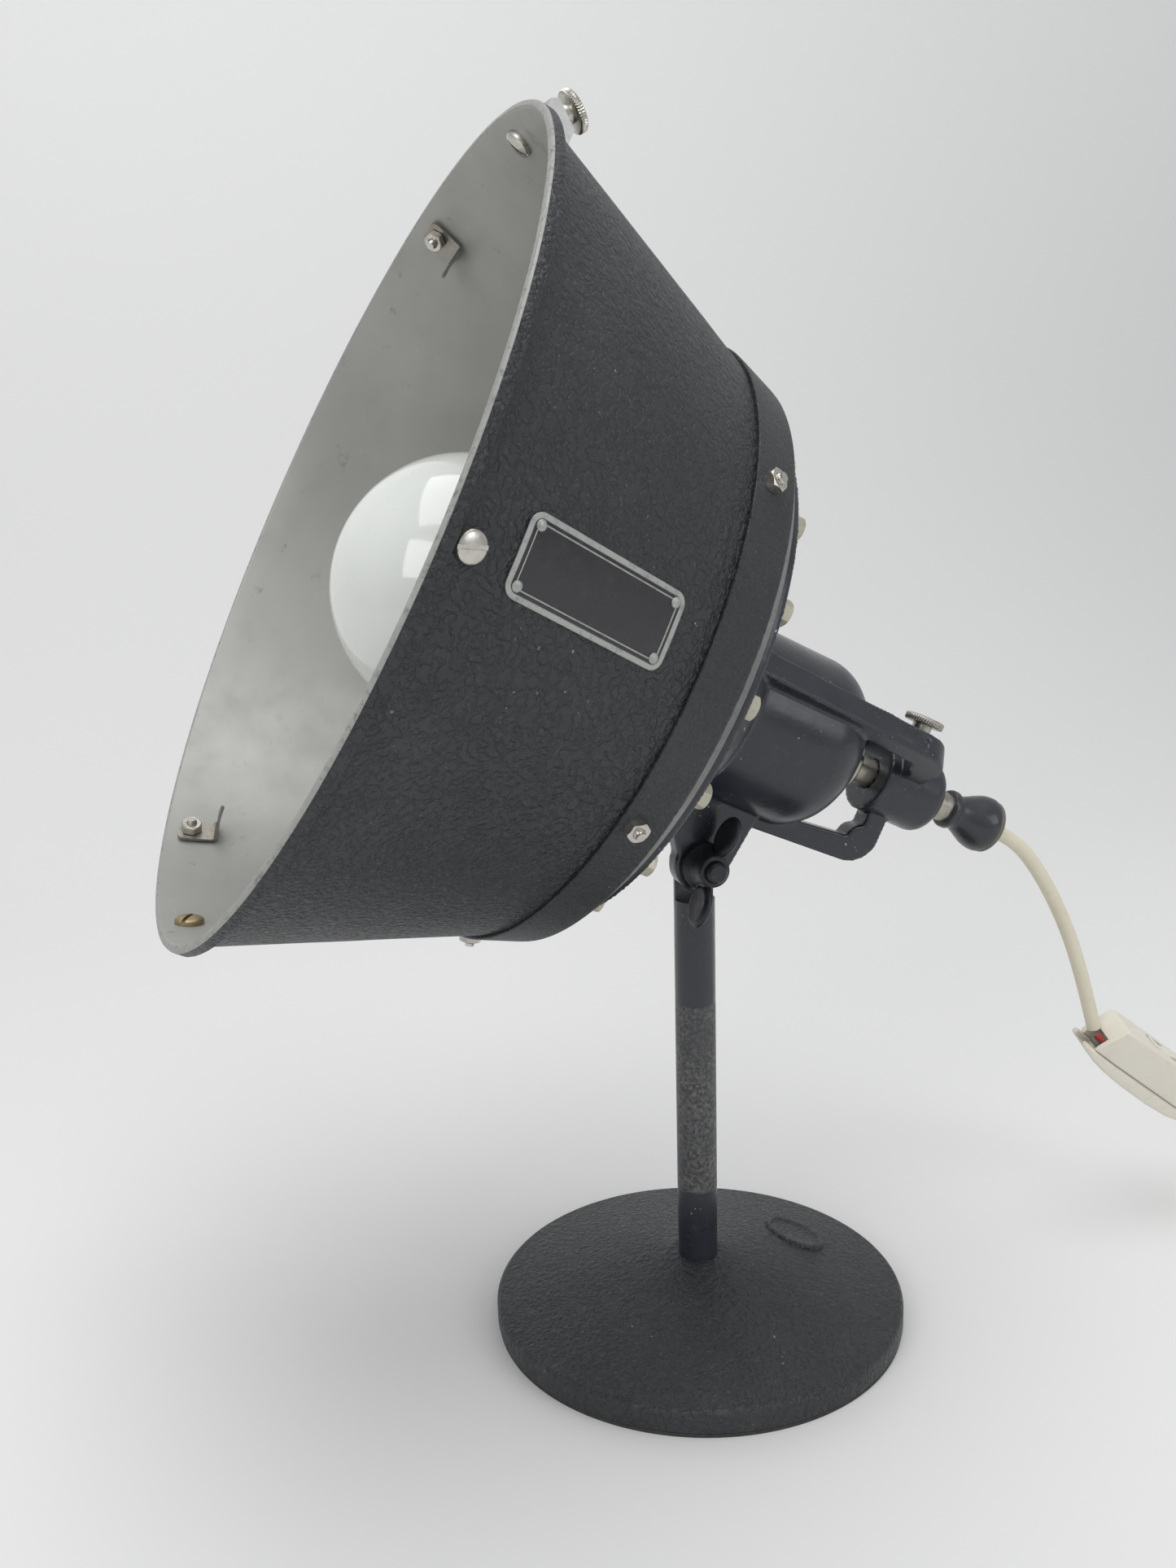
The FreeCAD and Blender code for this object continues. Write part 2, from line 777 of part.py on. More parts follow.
def seat(disc, wall_radius, tilt):
    """How far a flat disc stands off a hollow conical wall it touches at its edges."""
    bow = value(wall_radius) / math.cos(tilt)
    return bow - math.sqrt(bow ** 2 - disc ** 2) + 0.005


SHADE_TILT = math.atan(value(cone_slope))
DISH_TILT = math.atan(value(dish_slope))
SHADE_SHEET = SIZES["shade_sheet"] * math.cos(SHADE_TILT)
SEAM_SHEET = SIZES["shade_sheet"] * math.cos(DISH_TILT)

# Twelve bolts hold the dish to the flange; heads behind, nuts inside.
bolt = new_body("flange_bolts", HEAD)
head_sketch = new_sketch(bolt, "XY_Plane", lift=flange_rear - size.bolt_head)
draw_loop(head_sketch, [(x + size.bolt_circle, y) for x, y in hexagon(size.bolt_across)])
head_pad = extrude(bolt, head_sketch, size.bolt_head)
shank_sketch = new_sketch(bolt, "XY_Plane", lift=flange_rear - size.bolt_head / 2)
draw_circle(shank_sketch, size.bolt_circle, 0, size.bolt_radius)
shank_pad = extrude(bolt, shank_sketch, size.bolt_head / 2 + size.flange_thick + size.dish_sheet
                    + size.bolt_nut + size.bolt_tail)
polar(bolt, [head_pad, shank_pad], size.bolt_count)
nut = new_body("flange_nuts", HEAD)
nut_sketch = new_sketch(nut, "XY_Plane", lift=annulus)
draw_loop(nut_sketch, [(x + size.bolt_circle, y) for x, y in hexagon(size.bolt_across)])
draw_circle(nut_sketch, size.bolt_circle, 0, size.bolt_radius + size.close_fit)
polar(nut, [extrude(nut, nut_sketch, size.bolt_nut)], size.bolt_count)
BOLT_TURNS = [360.0 * k / int(SIZES["bolt_count"]) for k in range(int(SIZES["bolt_count"]))]
bolt_holes = [(about_axis(angle).multiply(Placement(Vector(SIZES["bolt_circle"], 0, 0),
                                                    Rotation())),
               value(size.bolt_radius + size.close_fit),
               value(flange_rear) - 1, value(annulus) + 1) for angle in BOLT_TURNS]

# Six screws hold the shade's skirt in the dish; heads inside, nuts outside.
SEAM_TURNS = [SIZES["seam_phase"] + 360.0 * k / int(SIZES["seam_count"])
              for k in range(int(SIZES["seam_count"]))]
seam_outside = [on_wall(angle, value(dish_side(size.seam_face)), SIZES["seam_face"],
                        value(dish_slope)) for angle in SEAM_TURNS]
seam_wall = dish_side(size.seam_face) - dish_wall - size.shade_sheet
seam_depth = (SIZES["dish_sheet"] + SIZES["close_fit"] * math.cos(DISH_TILT) + SEAM_SHEET
              + seat(SIZES["seam_head_radius"], seam_wall, DISH_TILT))
flip_over = Placement(Vector(0, 0, -seam_depth), Rotation(Vector(1, 0, 0), 180))
seam_reach = length(seam_depth) + size.seam_nut + size.seam_tail
copies("seam_screws", screw("seam_screw", size.seam_head_radius, size.seam_head,
                            size.seam_radius, seam_reach),
       [place.multiply(flip_over) for place in seam_outside])
copies("seam_nuts", hex_nut("seam_nut", size.seam_across, size.seam_nut,
                            size.seam_radius + size.close_fit), seam_outside)
seam_holes = [(place, value(size.seam_radius + size.close_fit), -seam_depth - 1, 1.0)
              for place in seam_outside]

# Clips, their screws, spacers and nuts, evenly round the rim.
CLIP_TURNS = [SIZES["clip_phase"] + 120.0 * k for k in range(3)]


def shade_outside(angle, face):
    return on_wall(angle, value(cone_radius(face)), value(length(face)), value(cone_slope))


def inside_of(place, depth):
    """Turn a place on the outside of the shade to face inward, at a depth below it."""
    return place.multiply(Placement(Vector(0, 0, -depth), Rotation(Vector(1, 0, 0), 180)))


clip_face = rim_rear - size.clip_setback
clip_outside = [shade_outside(angle, clip_face) for angle in CLIP_TURNS]
clip_seat = SHADE_SHEET + seat(SIZES["clip_spacer_radius"],
                               cone_radius(clip_face) - size.shade_sheet, SHADE_TILT)
clip_level = clip_seat + SIZES["clip_spacer"] + SIZES["face_gap"]
clip_stack = clip_level + SIZES["clip_sheet"] + SIZES["face_gap"]
clip_reach = length(clip_stack) + size.clip_nut + size.clip_tail
copies("clip_screws", screw("clip_screw", size.clip_head_radius, size.clip_head,
                            size.clip_screw_radius, clip_reach, (1.2, 1.1)), clip_outside)
clip_spacer = ring("clip_spacer", size.clip_screw_radius + size.close_fit,
                   size.clip_spacer_radius, ZERO, size.clip_spacer)
copies("clip_spacers", clip_spacer, [inside_of(place, clip_seat) for place in clip_outside])
copies("clip_nuts", hex_nut("clip_nut", size.clip_nut_across, size.clip_nut,
                            size.clip_screw_radius + size.close_fit),
       [inside_of(place, clip_stack) for place in clip_outside])
for number, place in enumerate(clip_outside, 1):
    clip = new_body("spring_clip_%d" % number, inside_of(place, clip_level))
    plate = new_sketch(clip, "XY_Plane")
    half = size.clip_width / 2
    draw_loop(plate, [(size.clip_rear, -half), (size.clip_rear, half), (-size.clip_front + 1, half),
                      (-size.clip_front, half - 1), (-size.clip_front, -half + 1),
                      (-size.clip_front + 1, -half)])
    draw_circle(plate, 0, 0, size.clip_screw_radius + size.turning_fit)
    extrude(clip, plate, size.clip_sheet)
    tongue = new_sketch(clip, "YZ_Plane", lift=size.clip_rear - size.clip_sheet)
    draw_loop(tongue, [(-half, size.clip_sheet / 2), (half, size.clip_sheet / 2),
                       (half, size.clip_tongue - half),
                       (ZERO, size.clip_tongue, half, 1),
                       (-half, size.clip_tongue - half, half, 1)])
    extrude(clip, tongue, size.clip_sheet)
clip_holes = [(place, value(size.clip_screw_radius + size.close_fit), -SHADE_SHEET - 1, 1.0)
              for place in clip_outside]

# Two screws at the top and bottom of the rim; the top one carries the clamp block.
rim_screw_face = rim_rear - size.rim_screw_setback
rim_outside = [shade_outside(angle, rim_screw_face) for angle in (90, 270)]
rim_seat = SHADE_SHEET + seat(SIZES["rim_screw_head_radius"],
                              cone_radius(rim_screw_face) - size.shade_sheet, SHADE_TILT)
copies("rim_screws", screw("rim_screw", size.rim_screw_head_radius, size.rim_screw_head,
                           size.rim_screw_radius, size.rim_screw_length, (1.4, 1.2)),
       [inside_of(place, rim_seat) for place in rim_outside])
hex_nut("rim_nut", size.rim_nut_across, size.rim_nut, size.rim_screw_radius + size.close_fit,
        rim_outside[1])
rim_holes = [(place, value(size.rim_screw_radius + size.close_fit), -SHADE_SHEET - 1, 1.0)
             for place in rim_outside]

block_front = rim_rear - size.block_setback
block_rear = block_front - size.block_length
block_front_height = cone_radius(block_front) + size.block_front_rise
block_rear_height = cone_radius(block_rear) + size.block_rear_rise
block_run = size.block_length - size.block_nose
block = new_body("clamp_block_body", HEAD)
wedge = new_sketch(block, "YZ_Plane")
draw_loop(wedge, [
    (cone_radius(block_rear) + size.close_fit, block_rear),
    (cone_radius(block_front) + size.close_fit, block_front),
    (block_front_height - size.block_nose / 2, block_front),
    (block_front_height, block_front - size.block_nose),
    (block_rear_height, block_rear),
])
extrude(block, wedge, size.block_width, midplane=True)
face_tilt = math.atan2(value(block_front_height - block_rear_height), value(block_run))
block_top = Vector(0, value(block_front_height + block_rear_height) / 2,
                   value(block_front - size.block_nose + block_rear) / 2)
THUMB = HEAD.multiply(Placement(block_top, Rotation(Vector(1, 0, 0),
                                                    -90 - math.degrees(face_tilt))))
thumb = new_body("rim_thumbscrew", THUMB)
revolve(thumb, [[
    (ZERO, -size.thumb_shank), (size.thumb_shank_radius, -size.thumb_shank),
    (size.thumb_shank_radius, size.face_gap), (size.thumb_shank_radius + 1, size.face_gap),
    (size.thumb_shank_radius + 1, size.thumb_gap),
    (size.thumb_radius - 0.4, size.thumb_gap), (size.thumb_radius, size.thumb_gap + 0.4),
    (size.thumb_radius, size.thumb_gap + size.thumb_thick - 0.4),
    (size.thumb_radius - 0.4, size.thumb_gap + size.thumb_thick),
    (ZERO, size.thumb_gap + size.thumb_thick),
]])

# Blank name plate, bent to the shade, and its four rivets.
plate_shell = new_body("plate_shell")
plate_low = size.plate_face - size.plate_length
plate_high = size.plate_face + size.plate_length
plate_rise = size.plate_sheet * root(cone_slope * cone_slope + 1)
revolve(plate_shell, [[
    (cone_radius(plate_low) + size.close_fit, plate_low),
    (cone_radius(plate_low) + plate_rise, plate_low),
    (cone_radius(plate_high) + plate_rise, plate_high),
    (cone_radius(plate_high) + size.close_fit, plate_high),
]])
plate_cutter = new_body("plate_cutter")
plate_outline = new_sketch(plate_cutter, "YZ_Plane")
wide = size.plate_width / 2
low = size.plate_face - size.plate_length / 2
high = size.plate_face + size.plate_length / 2
bend = size.plate_round
draw_loop(plate_outline, [
    (-wide + bend, low), (wide - bend, low), (wide, low + bend, bend, 1), (wide, high - bend),
    (wide - bend, high, bend, 1), (-wide + bend, high), (-wide, high - bend, bend, 1),
    (-wide, low + bend), (-wide + bend, low, bend, 1),
][1:])
extrude(plate_cutter, plate_outline, size.rim_radius + 50)
name_plate = doc.addObject("Part::Common", "name_plate_blank")
name_plate.Base = plate_shell
name_plate.Tool = plate_cutter
name_plate.Placement = about_axis(SIZES["plate_phase"])

rivet_places = []
for end in (-1, 1):
    face = value(size.plate_face) + end * value(size.plate_length / 2 - size.rivet_inset)
    for side in (-1, 1):
        aside = side * value(wide - size.rivet_inset)
        turn = math.degrees(math.asin(aside / value(cone_radius(face))))
        rivet_places.append(on_wall(SIZES["plate_phase"] + turn,
                                    value(cone_radius(face) + plate_rise), face,
                                    value(cone_slope)))
rivet_grip = SIZES["plate_sheet"] + SHADE_SHEET
rivet = new_body("rivet")
revolve(rivet, [[
    (ZERO, length(-rivet_grip - 0.6)), (size.rivet_radius + 0.5, length(-rivet_grip - 0.6)),
    (size.rivet_radius + 0.5, length(-rivet_grip)), (size.rivet_radius, length(-rivet_grip)),
    (size.rivet_radius, ZERO), (size.rivet_head_radius, ZERO),
    (size.rivet_head_radius, size.rivet_head / 3), (ZERO, size.rivet_head,
     (size.rivet_head_radius * size.rivet_head_radius
      + size.rivet_head * size.rivet_head * 4 / 9) / (size.rivet_head * 4 / 3), 1),
]])
copies("plate_rivets", rivet, rivet_places)
rivet_holes = [(place, value(size.rivet_radius + size.close_fit), -rivet_grip - 1, 1.0)
               for place in rivet_places]

drilled("rear_dish", dish, bolt_holes + seam_holes)
drilled("shade_cone", shade, seam_holes + clip_holes + rim_holes + rivet_holes)
drilled("name_plate", name_plate, rivet_holes)
block_screw = (rim_outside[0], value(size.rim_screw_radius + size.close_fit), -2.0,
               value(size.rim_screw_length) + 1)
thumb_hole = (THUMB, value(size.thumb_shank_radius + size.turning_fit),
              -value(size.thumb_shank) - 0.5, 1.0)
drilled("clamp_block", block, [block_screw, thumb_hole])
LOCK = HEAD.multiply(Placement(Vector(0, 0, -SIZES["lock_face"]), Rotation(Vector(1, 0, 0), -90)))
lock_hole = (LOCK, value(size.lock_shank_radius + size.turning_fit), 0.0,
             value(size.hub_radius) + 1)
drilled("lamp_house", house, bolt_holes + [lock_hole])

# ---------------------------------------------------------------------------
# Bush, lock screw, focusing tube, gland
# ---------------------------------------------------------------------------
bush = new_body("tube_bush", HEAD)
bush_outer = size.bush_hole_radius
revolve(bush, [[
    (tube_hole, dome_rear - size.bush_flange_thick),
    (size.bush_flange_radius - 1, dome_rear - size.bush_flange_thick),
    (size.bush_flange_radius, dome_rear - size.bush_flange_thick + 1),
    (size.bush_flange_radius, dome_rear), (bush_outer, dome_rear),
    (bush_outer, dome_rear + size.house_wall + size.bush_lip),
    (tube_hole, dome_rear + size.house_wall + size.bush_lip),
]])

lock = new_body("lock_screw", LOCK)
lock_low = tube_hole + 0.3
knob_low = size.lock_knob_top - size.lock_knob_thick
revolve(lock, [[
    (ZERO, lock_low), (size.lock_shank_radius, lock_low),
    (size.lock_shank_radius, size.hub_radius + size.lock_neck_radius),
    (size.lock_neck_radius, size.hub_radius + size.lock_neck_radius),
    (size.lock_neck_radius, knob_low),
    (size.lock_knob_radius - 0.4, knob_low), (size.lock_knob_radius, knob_low + 0.4),
    (size.lock_knob_radius, size.lock_knob_top - 0.4),
    (size.lock_knob_radius - 0.4, size.lock_knob_top), (ZERO, size.lock_knob_top),
]])

tube = new_body("focus_tube", HEAD)
revolve(tube, [rectangle(size.tube_bore, -size.tube_rear, size.tube_radius, size.tube_front)])

collar_rear = size.gland_front + size.gland_collar
waist_rear = collar_rear + size.gland_waist
body_rear = waist_rear + size.gland_body
ring_rear = body_rear + size.gland_ring
gland = new_body("cord_gland", HEAD)
gland_bore = size.tube_radius + size.close_fit
cord_hole = size.cord_radius + size.face_gap * 3
revolve(gland, [[
    (gland_bore, -size.gland_front), (gland_bore, -size.tube_rear),
    (cord_hole, -size.tube_rear), (cord_hole, -body_rear),
    (size.gland_body_radius - 1, -body_rear), (size.gland_body_radius, -body_rear + 1),
    (size.gland_body_radius, -waist_rear - 1), (size.gland_body_radius - 1, -waist_rear),
    (size.gland_waist_radius, -waist_rear), (size.gland_waist_radius, -collar_rear),
    (size.gland_collar_radius, -collar_rear), (size.gland_collar_radius, -size.gland_front),
]])
gland_end = new_body("gland_ring", HEAD)
revolve(gland_end, [[
    (size.cord_radius + size.close_fit, -ring_rear), (size.gland_ring_radius - 1, -ring_rear),
    (size.gland_ring_radius, -ring_rear + 1), (size.gland_ring_radius, -body_rear),
    (size.cord_radius + size.close_fit, -body_rear),
]])
lead_front = size.tube_front - size.carrier_thick
lead = new_body("tube_lead", HEAD)
revolve(lead, [rectangle(ZERO, -ring_rear, size.cord_radius, lead_front)])

# ---------------------------------------------------------------------------
# Lamp holder on the tube's front end
# ---------------------------------------------------------------------------
carrier_rear = size.tube_front - 1
carrier_front = carrier_rear + size.carrier_thick
holder_front = size.cap_front + size.holder_lip
carrier = new_body("socket_carrier", HEAD)
carrier_sketch = new_sketch(carrier, "XY_Plane", lift=carrier_rear)
draw_circle(carrier_sketch, 0, 0, size.carrier_radius)
draw_circle(carrier_sketch, 0, 0, size.tube_radius + size.close_fit)
for side in (1, -1):
    draw_circle(carrier_sketch, size.holder_screw_circle * side, 0,
                size.holder_screw_radius + size.close_fit)
extrude(carrier, carrier_sketch, size.carrier_thick)
holder = new_body("holder_body", HEAD)
shell_outer = size.cap_radius + size.cap_gap + size.shell_sheet
holder_bore = shell_outer + size.close_fit
revolve(holder, [[
    (ZERO, carrier_front), (size.holder_radius - 1, carrier_front),
    (size.holder_radius, carrier_front + 1), (size.holder_radius, holder_front - 2),
    (size.holder_radius - 2, holder_front), (holder_bore + 1, holder_front),
    (holder_bore, holder_front - 1), (holder_bore, carrier_front + size.holder_floor),
    (ZERO, carrier_front + size.holder_floor),
]])
socket_holes = new_sketch(holder, "XY_Plane", lift=carrier_front)
for side in (1, -1):
    draw_circle(socket_holes, size.holder_screw_circle * side, 0,
                size.holder_screw_radius + size.close_fit)
extrude(holder, socket_holes, 8, flip=True, cut=True)
ring("holder_shell", size.cap_radius + size.cap_gap, shell_outer,
     carrier_front + size.holder_floor + size.contact_height,
     carrier_front + size.holder_floor + size.contact_height + size.shell_length, HEAD)
contact = new_body("centre_contact", HEAD)
contact_low = carrier_front + size.holder_floor
revolve(contact, [rectangle(ZERO, contact_low, size.contact_radius,
                            contact_low + size.contact_height)])
holder_screw = screw("holder_screw", size.holder_screw_radius * 1.8, 1.6,
                     size.holder_screw_radius, size.carrier_thick + 7, (0.8, 0.7))
copies("holder_screws", holder_screw, [
    HEAD.multiply(Placement(Vector(SIZES["holder_screw_circle"] * side, 0, value(carrier_rear)),
                            Rotation(Vector(1, 0, 0), 180))) for side in (1, -1)])

# ---------------------------------------------------------------------------
# Bulb: opal globe, screw cap, contact and inner mount
# ---------------------------------------------------------------------------
neck_radius = size.cap_radius - size.cap_wall - size.close_fit
neck_out = size.cap_radius + 1.2
globe = new_body("bulb_globe", HEAD)
neck_face = size.cap_front + 1.5
neck_lift = size.globe_face - root(size.globe_radius * size.globe_radius
                                   - (neck_out + 8) * (neck_out + 8))
glass_in = size.globe_radius - size.glass_wall
inner_lift = size.globe_face - root(glass_in * glass_in - (neck_out + 7) * (neck_out + 7))
globe_front = size.globe_face + size.globe_radius
revolve(globe, [[
    (neck_radius, size.cap_front - 6), (neck_radius, size.cap_front + size.close_fit),
    (neck_out, neck_face), (neck_out + 8, neck_lift),
    (size.globe_radius, size.globe_face, size.globe_radius, 1),
    (ZERO, globe_front, size.globe_radius, 1),
    (ZERO, globe_front - size.glass_wall),
    (glass_in, size.globe_face, glass_in, -1),
    (neck_out + 7, inner_lift, glass_in, -1),
    (neck_out - size.glass_wall, neck_face + 1),
    (neck_radius - size.glass_wall, size.cap_front - 1),
    (neck_radius - size.glass_wall, size.cap_front - 6),
]])
cap = new_body("bulb_cap", HEAD)
revolve(cap, [[
    (size.tip_radius + 1, size.cap_rear), (size.cap_radius - 3, size.cap_rear),
    (size.cap_radius, size.cap_rear + 4), (size.cap_radius, size.cap_front),
    (size.cap_radius - size.cap_wall, size.cap_front),
    (size.cap_radius - size.cap_wall, size.cap_rear + 4.4),
    (size.cap_radius - 3.4, size.cap_rear + 1), (size.tip_radius + 1, size.cap_rear + 1),
]])
tip = new_body("bulb_contact", HEAD)
revolve(tip, [[
    (ZERO, size.cap_rear - size.tip_height), (size.tip_radius - 1.5,
                                              size.cap_rear - size.tip_height),
    (size.tip_radius, size.cap_rear - size.tip_height + 1.5),
    (size.tip_radius + 1 - size.close_fit, size.cap_rear + 0.2),
    (size.tip_radius + 1 - size.close_fit, size.cap_rear + 1), (ZERO, size.cap_rear + 1),
]])
stem = new_body("filament_mount", HEAD)
stem_low = size.cap_front - 6
revolve(stem, [[
    (ZERO, size.cap_rear + 1), (size.tip_radius, size.cap_rear + 1),
    (size.tip_radius, stem_low), (neck_radius - size.glass_wall - size.close_fit, stem_low),
    (neck_radius - size.glass_wall - size.close_fit, stem_low + 2),
    (size.stem_radius, stem_low + 10), (size.stem_radius / 2, stem_low + size.stem_length * 0.6),
    (size.stem_radius / 2, stem_low + size.stem_length), (ZERO, stem_low + size.stem_length),
]])

# ---------------------------------------------------------------------------
# Cord, plug and cord switch
# ---------------------------------------------------------------------------
CORD_EXIT = HEAD.multVec(Vector(0, 0, -value(ring_rear)))
SWITCH_START = Vector(0, SIZES["switch_back"], SIZES["switch_high"])
SWITCH_ALONG = Vector(0, 0.77, -0.64).normalize()
SWITCH_UP = Vector(0, 0.64, 0.77).normalize()
SWITCH = Placement(SWITCH_START, Rotation(SWITCH_ALONG, Vector(-1, 0, 0), SWITCH_UP, "XYZ"))
SWITCH_END = SWITCH_START + SWITCH_ALONG * SIZES["switch_length"]
FLOOR = SIZES["cord_radius"]

DROP_ROUTE = [
    CORD_EXIT,
    CORD_EXIT - LIGHT * 11.5,
    Vector(0, 154.5, 175.6),
    Vector(0, 169.2, 153.0),
    Vector(0, 182.5, 123.9),
    SWITCH_START + Vector(0, 1.2, -3.0),
]
FLOOR_ROUTE = [
    SWITCH_END - SWITCH_ALONG * 3,
    SWITCH_END + SWITCH_ALONG * 14,
    SWITCH_END + Vector(1, 31, -30),
    SWITCH_END + Vector(2, 47, SWITCH_END.z * -1 + FLOOR + 1.2),
    SWITCH_END + Vector(0, 66, SWITCH_END.z * -1 + FLOOR),
    SWITCH_END + Vector(-3, 84, SWITCH_END.z * -1 + FLOOR),
]
COIL_CENTRE = Vector(SIZES["coil_side"], SIZES["coil_back"], 0)
TAIL_ROUTE = [
    COIL_CENTRE + Vector(-9.6, 42.3, FLOOR * 3),
    COIL_CENTRE + Vector(17, 46.8, FLOOR + 4.7),
    COIL_CENTRE + Vector(40, 42, FLOOR + 0.2),
    COIL_CENTRE + Vector(57, 27, FLOOR + 0.2),
    COIL_CENTRE + Vector(64, 7, FLOOR + 2.4),
    COIL_CENTRE + Vector(65.2, -13, SIZES["plug_thick"] / 2),
]


def route_edges(points, name):
    """Straight runs joined by the largest tangent arcs the runs allow."""
    runs = [points[k + 1] - points[k] for k in range(len(points) - 1)]
    cuts = [(points[0], points[0])]
    arcs = []
    for k in range(1, len(points) - 1):
        before, after = Vector(runs[k - 1]), Vector(runs[k])
        turn = before.getAngle(after)
        trim = 0.45 * min(before.Length, after.Length)
        start = points[k] - before.normalize() * trim
        finish = points[k] + after.normalize() * trim
        radius = trim / math.tan(turn / 2)
        print("%s arc %d radius %.1f turn %.1f" % (name, k, radius, math.degrees(turn)))
        inward = (start + finish) * 0.5 - points[k]
        middle = points[k] + inward.normalize() * (radius / math.cos(turn / 2) - radius)
        arcs.append(Part.Arc(start, middle, finish).toShape())
        cuts.append((start, finish))
    cuts.append((points[-1], points[-1]))
    edges = []
    for k in range(len(cuts) - 1):
        edges.append(Part.LineSegment(cuts[k][1], cuts[k + 1][0]).toShape())
        if k < len(arcs):
            edges.append(arcs[k])
    return edges


def cord_tube(label, edges, trims=()):
    """A round cord along the edges, ended flush on the shapes it runs into."""
    wire = Part.Wire(edges)
    start = edges[0].Vertexes[0].Point
    way = edges[0].Vertexes[1].Point - start
    profile = Part.Wire([Part.Circle(start, way, SIZES["cord_radius"]).toShape()])
    shape = wire.makePipeShell([profile], True, False)
    wanted = math.pi * SIZES["cord_radius"] ** 2 * wire.Length
    print("%s length %.1f volume ratio %.4f" % (label, wire.Length, shape.Volume / wanted))
    for trim in trims:
        shape = shape.cut(trim)
    solids = sorted(shape.Solids, key=lambda solid: -solid.Volume)
    node = doc.addObject("Part::Feature", label)
    node.Shape = solids[0]
    node.Label = label
    return node


def split_at(edge, point):
    """Split a straight edge at a point on it."""
    first, last = edge.Vertexes[0].Point, edge.Vertexes[1].Point
    return [Part.LineSegment(first, point).toShape(), Part.LineSegment(point, last).toShape()]


# The switch: a boat-shaped lower shell and a deeper cover, hollow, on one outline.
half_wide = size.switch_width / 2
half_nose = size.switch_nose / 2
shoulder = size.switch_length / 4


def switch_outline(inset):
    """The switch's outline in plan, moved in by an amount."""
    inset = length(inset)
    long = size.switch_length
    return [
        (inset, -half_nose + inset / 2), (shoulder, -half_wide + inset),
        (long - shoulder, -half_wide + inset), (long - inset, -half_nose + inset / 2),
        (long - inset, half_nose - inset / 2), (long - shoulder, half_wide - inset),
        (shoulder, half_wide - inset), (inset, half_nose - inset / 2),
    ]


switch_base = new_body("switch_base", SWITCH)
outer = new_sketch(switch_base, "XY_Plane")
draw_loop(outer, switch_outline(0))
extrude(switch_base, outer, size.switch_floor_height, flip=True)
inner = new_sketch(switch_base, "XY_Plane")
draw_loop(inner, switch_outline(size.switch_wall))
extrude(switch_base, inner, size.switch_floor_height - size.switch_wall, cut=True)
screw_spots = [(shoulder - 4, ZERO), (size.switch_length - shoulder + 4, ZERO)]
post_sketch = new_sketch(switch_base, "XY_Plane")
for x, y in screw_spots:
    draw_circle(post_sketch, x, y, size.switch_screw_radius * 2.4)
extrude(switch_base, post_sketch, size.switch_floor_height - 0.5, flip=True)
hole_sketch = new_sketch(switch_base, "XY_Plane")
for x, y in screw_spots:
    draw_circle(hole_sketch, x, y, size.switch_screw_radius + size.close_fit)
extrude(switch_base, hole_sketch, size.switch_floor_height + 1, cut=True)

switch_cover = new_body("switch_cover", SWITCH)
outer = new_sketch(switch_cover, "XY_Plane")
draw_loop(outer, switch_outline(0))
extrude(switch_cover, outer, size.switch_cover_height)
inner = new_sketch(switch_cover, "XY_Plane")
draw_loop(inner, switch_outline(size.switch_wall))
extrude(switch_cover, inner, size.switch_cover_height - size.switch_wall, flip=True, cut=True)
post_sketch = new_sketch(switch_cover, "XY_Plane")
for x, y in screw_spots:
    draw_circle(post_sketch, x, y, size.switch_screw_radius * 2.4)
extrude(switch_cover, post_sketch, size.switch_cover_height - 0.5)
hole_sketch = new_sketch(switch_cover, "XY_Plane")
for x, y in screw_spots:
    draw_circle(hole_sketch, x, y, size.switch_screw_radius + size.close_fit)
extrude(switch_cover, hole_sketch, size.switch_screw_radius * 5, flip=True, cut=True)
middle = size.switch_length / 2
slot_sketch = new_sketch(switch_cover, "XY_Plane", lift=size.switch_cover_height)
slot_half = size.rocker_length / 2 + size.face_gap * 4
slot_side = size.rocker_width / 2 + size.face_gap * 4
draw_loop(slot_sketch, rectangle(middle - slot_half, -slot_side, middle + slot_half, slot_side))
extrude(switch_cover, slot_sketch, size.switch_wall + 1, cut=True)
rocker_axle = size.switch_cover_height - size.switch_wall - 1
rib_sketch = new_sketch(switch_cover, "XY_Plane",
                        lift=size.switch_cover_height - size.switch_wall / 2)
rib_out = slot_side + size.rocker_rib
for near_side, far_side in ((slot_side, rib_out), (-rib_out, -slot_side)):
    draw_loop(rib_sketch, rectangle(middle - size.rocker_rib, near_side,
                                    middle + size.rocker_rib, far_side))
extrude(switch_cover, rib_sketch, size.switch_wall * 1.5 + 1, flip=True)
axle_sketch = new_sketch(switch_cover, "XZ_Plane")
draw_circle(axle_sketch, middle, rocker_axle, size.rocker_axle_radius + size.turning_fit)
extrude(switch_cover, axle_sketch, rib_out * 2 + 1, midplane=True, cut=True)

ROCKER = SWITCH.multiply(Placement(Vector(value(middle), 0, value(rocker_axle)),
                                   Rotation(Vector(1, 0, 0), -90)))
rocker = new_body("switch_rocker", ROCKER)
rocker_sketch = new_sketch(rocker, "XY_Plane")
rocker_half = size.rocker_length / 2 - 0.6
rocker_top = size.switch_wall + 1
draw_loop(rocker_sketch, [
    (-rocker_half, -rocker_top - 0.4), (ZERO, -rocker_top),
    (rocker_half, -rocker_top - size.rocker_height), (rocker_half, -rocker_top + 1.6),
    (size.rocker_length / 4, size.rocker_height / 2), (-size.rocker_length / 4,
                                                       size.rocker_height / 2),
    (-rocker_half, -rocker_top + 1.6),
])
extrude(rocker, rocker_sketch, size.rocker_width, midplane=True)
axle = new_sketch(rocker, "XY_Plane")
draw_circle(axle, 0, 0, size.rocker_axle_radius)
extrude(rocker, axle, rib_out * 2 - 1, midplane=True)

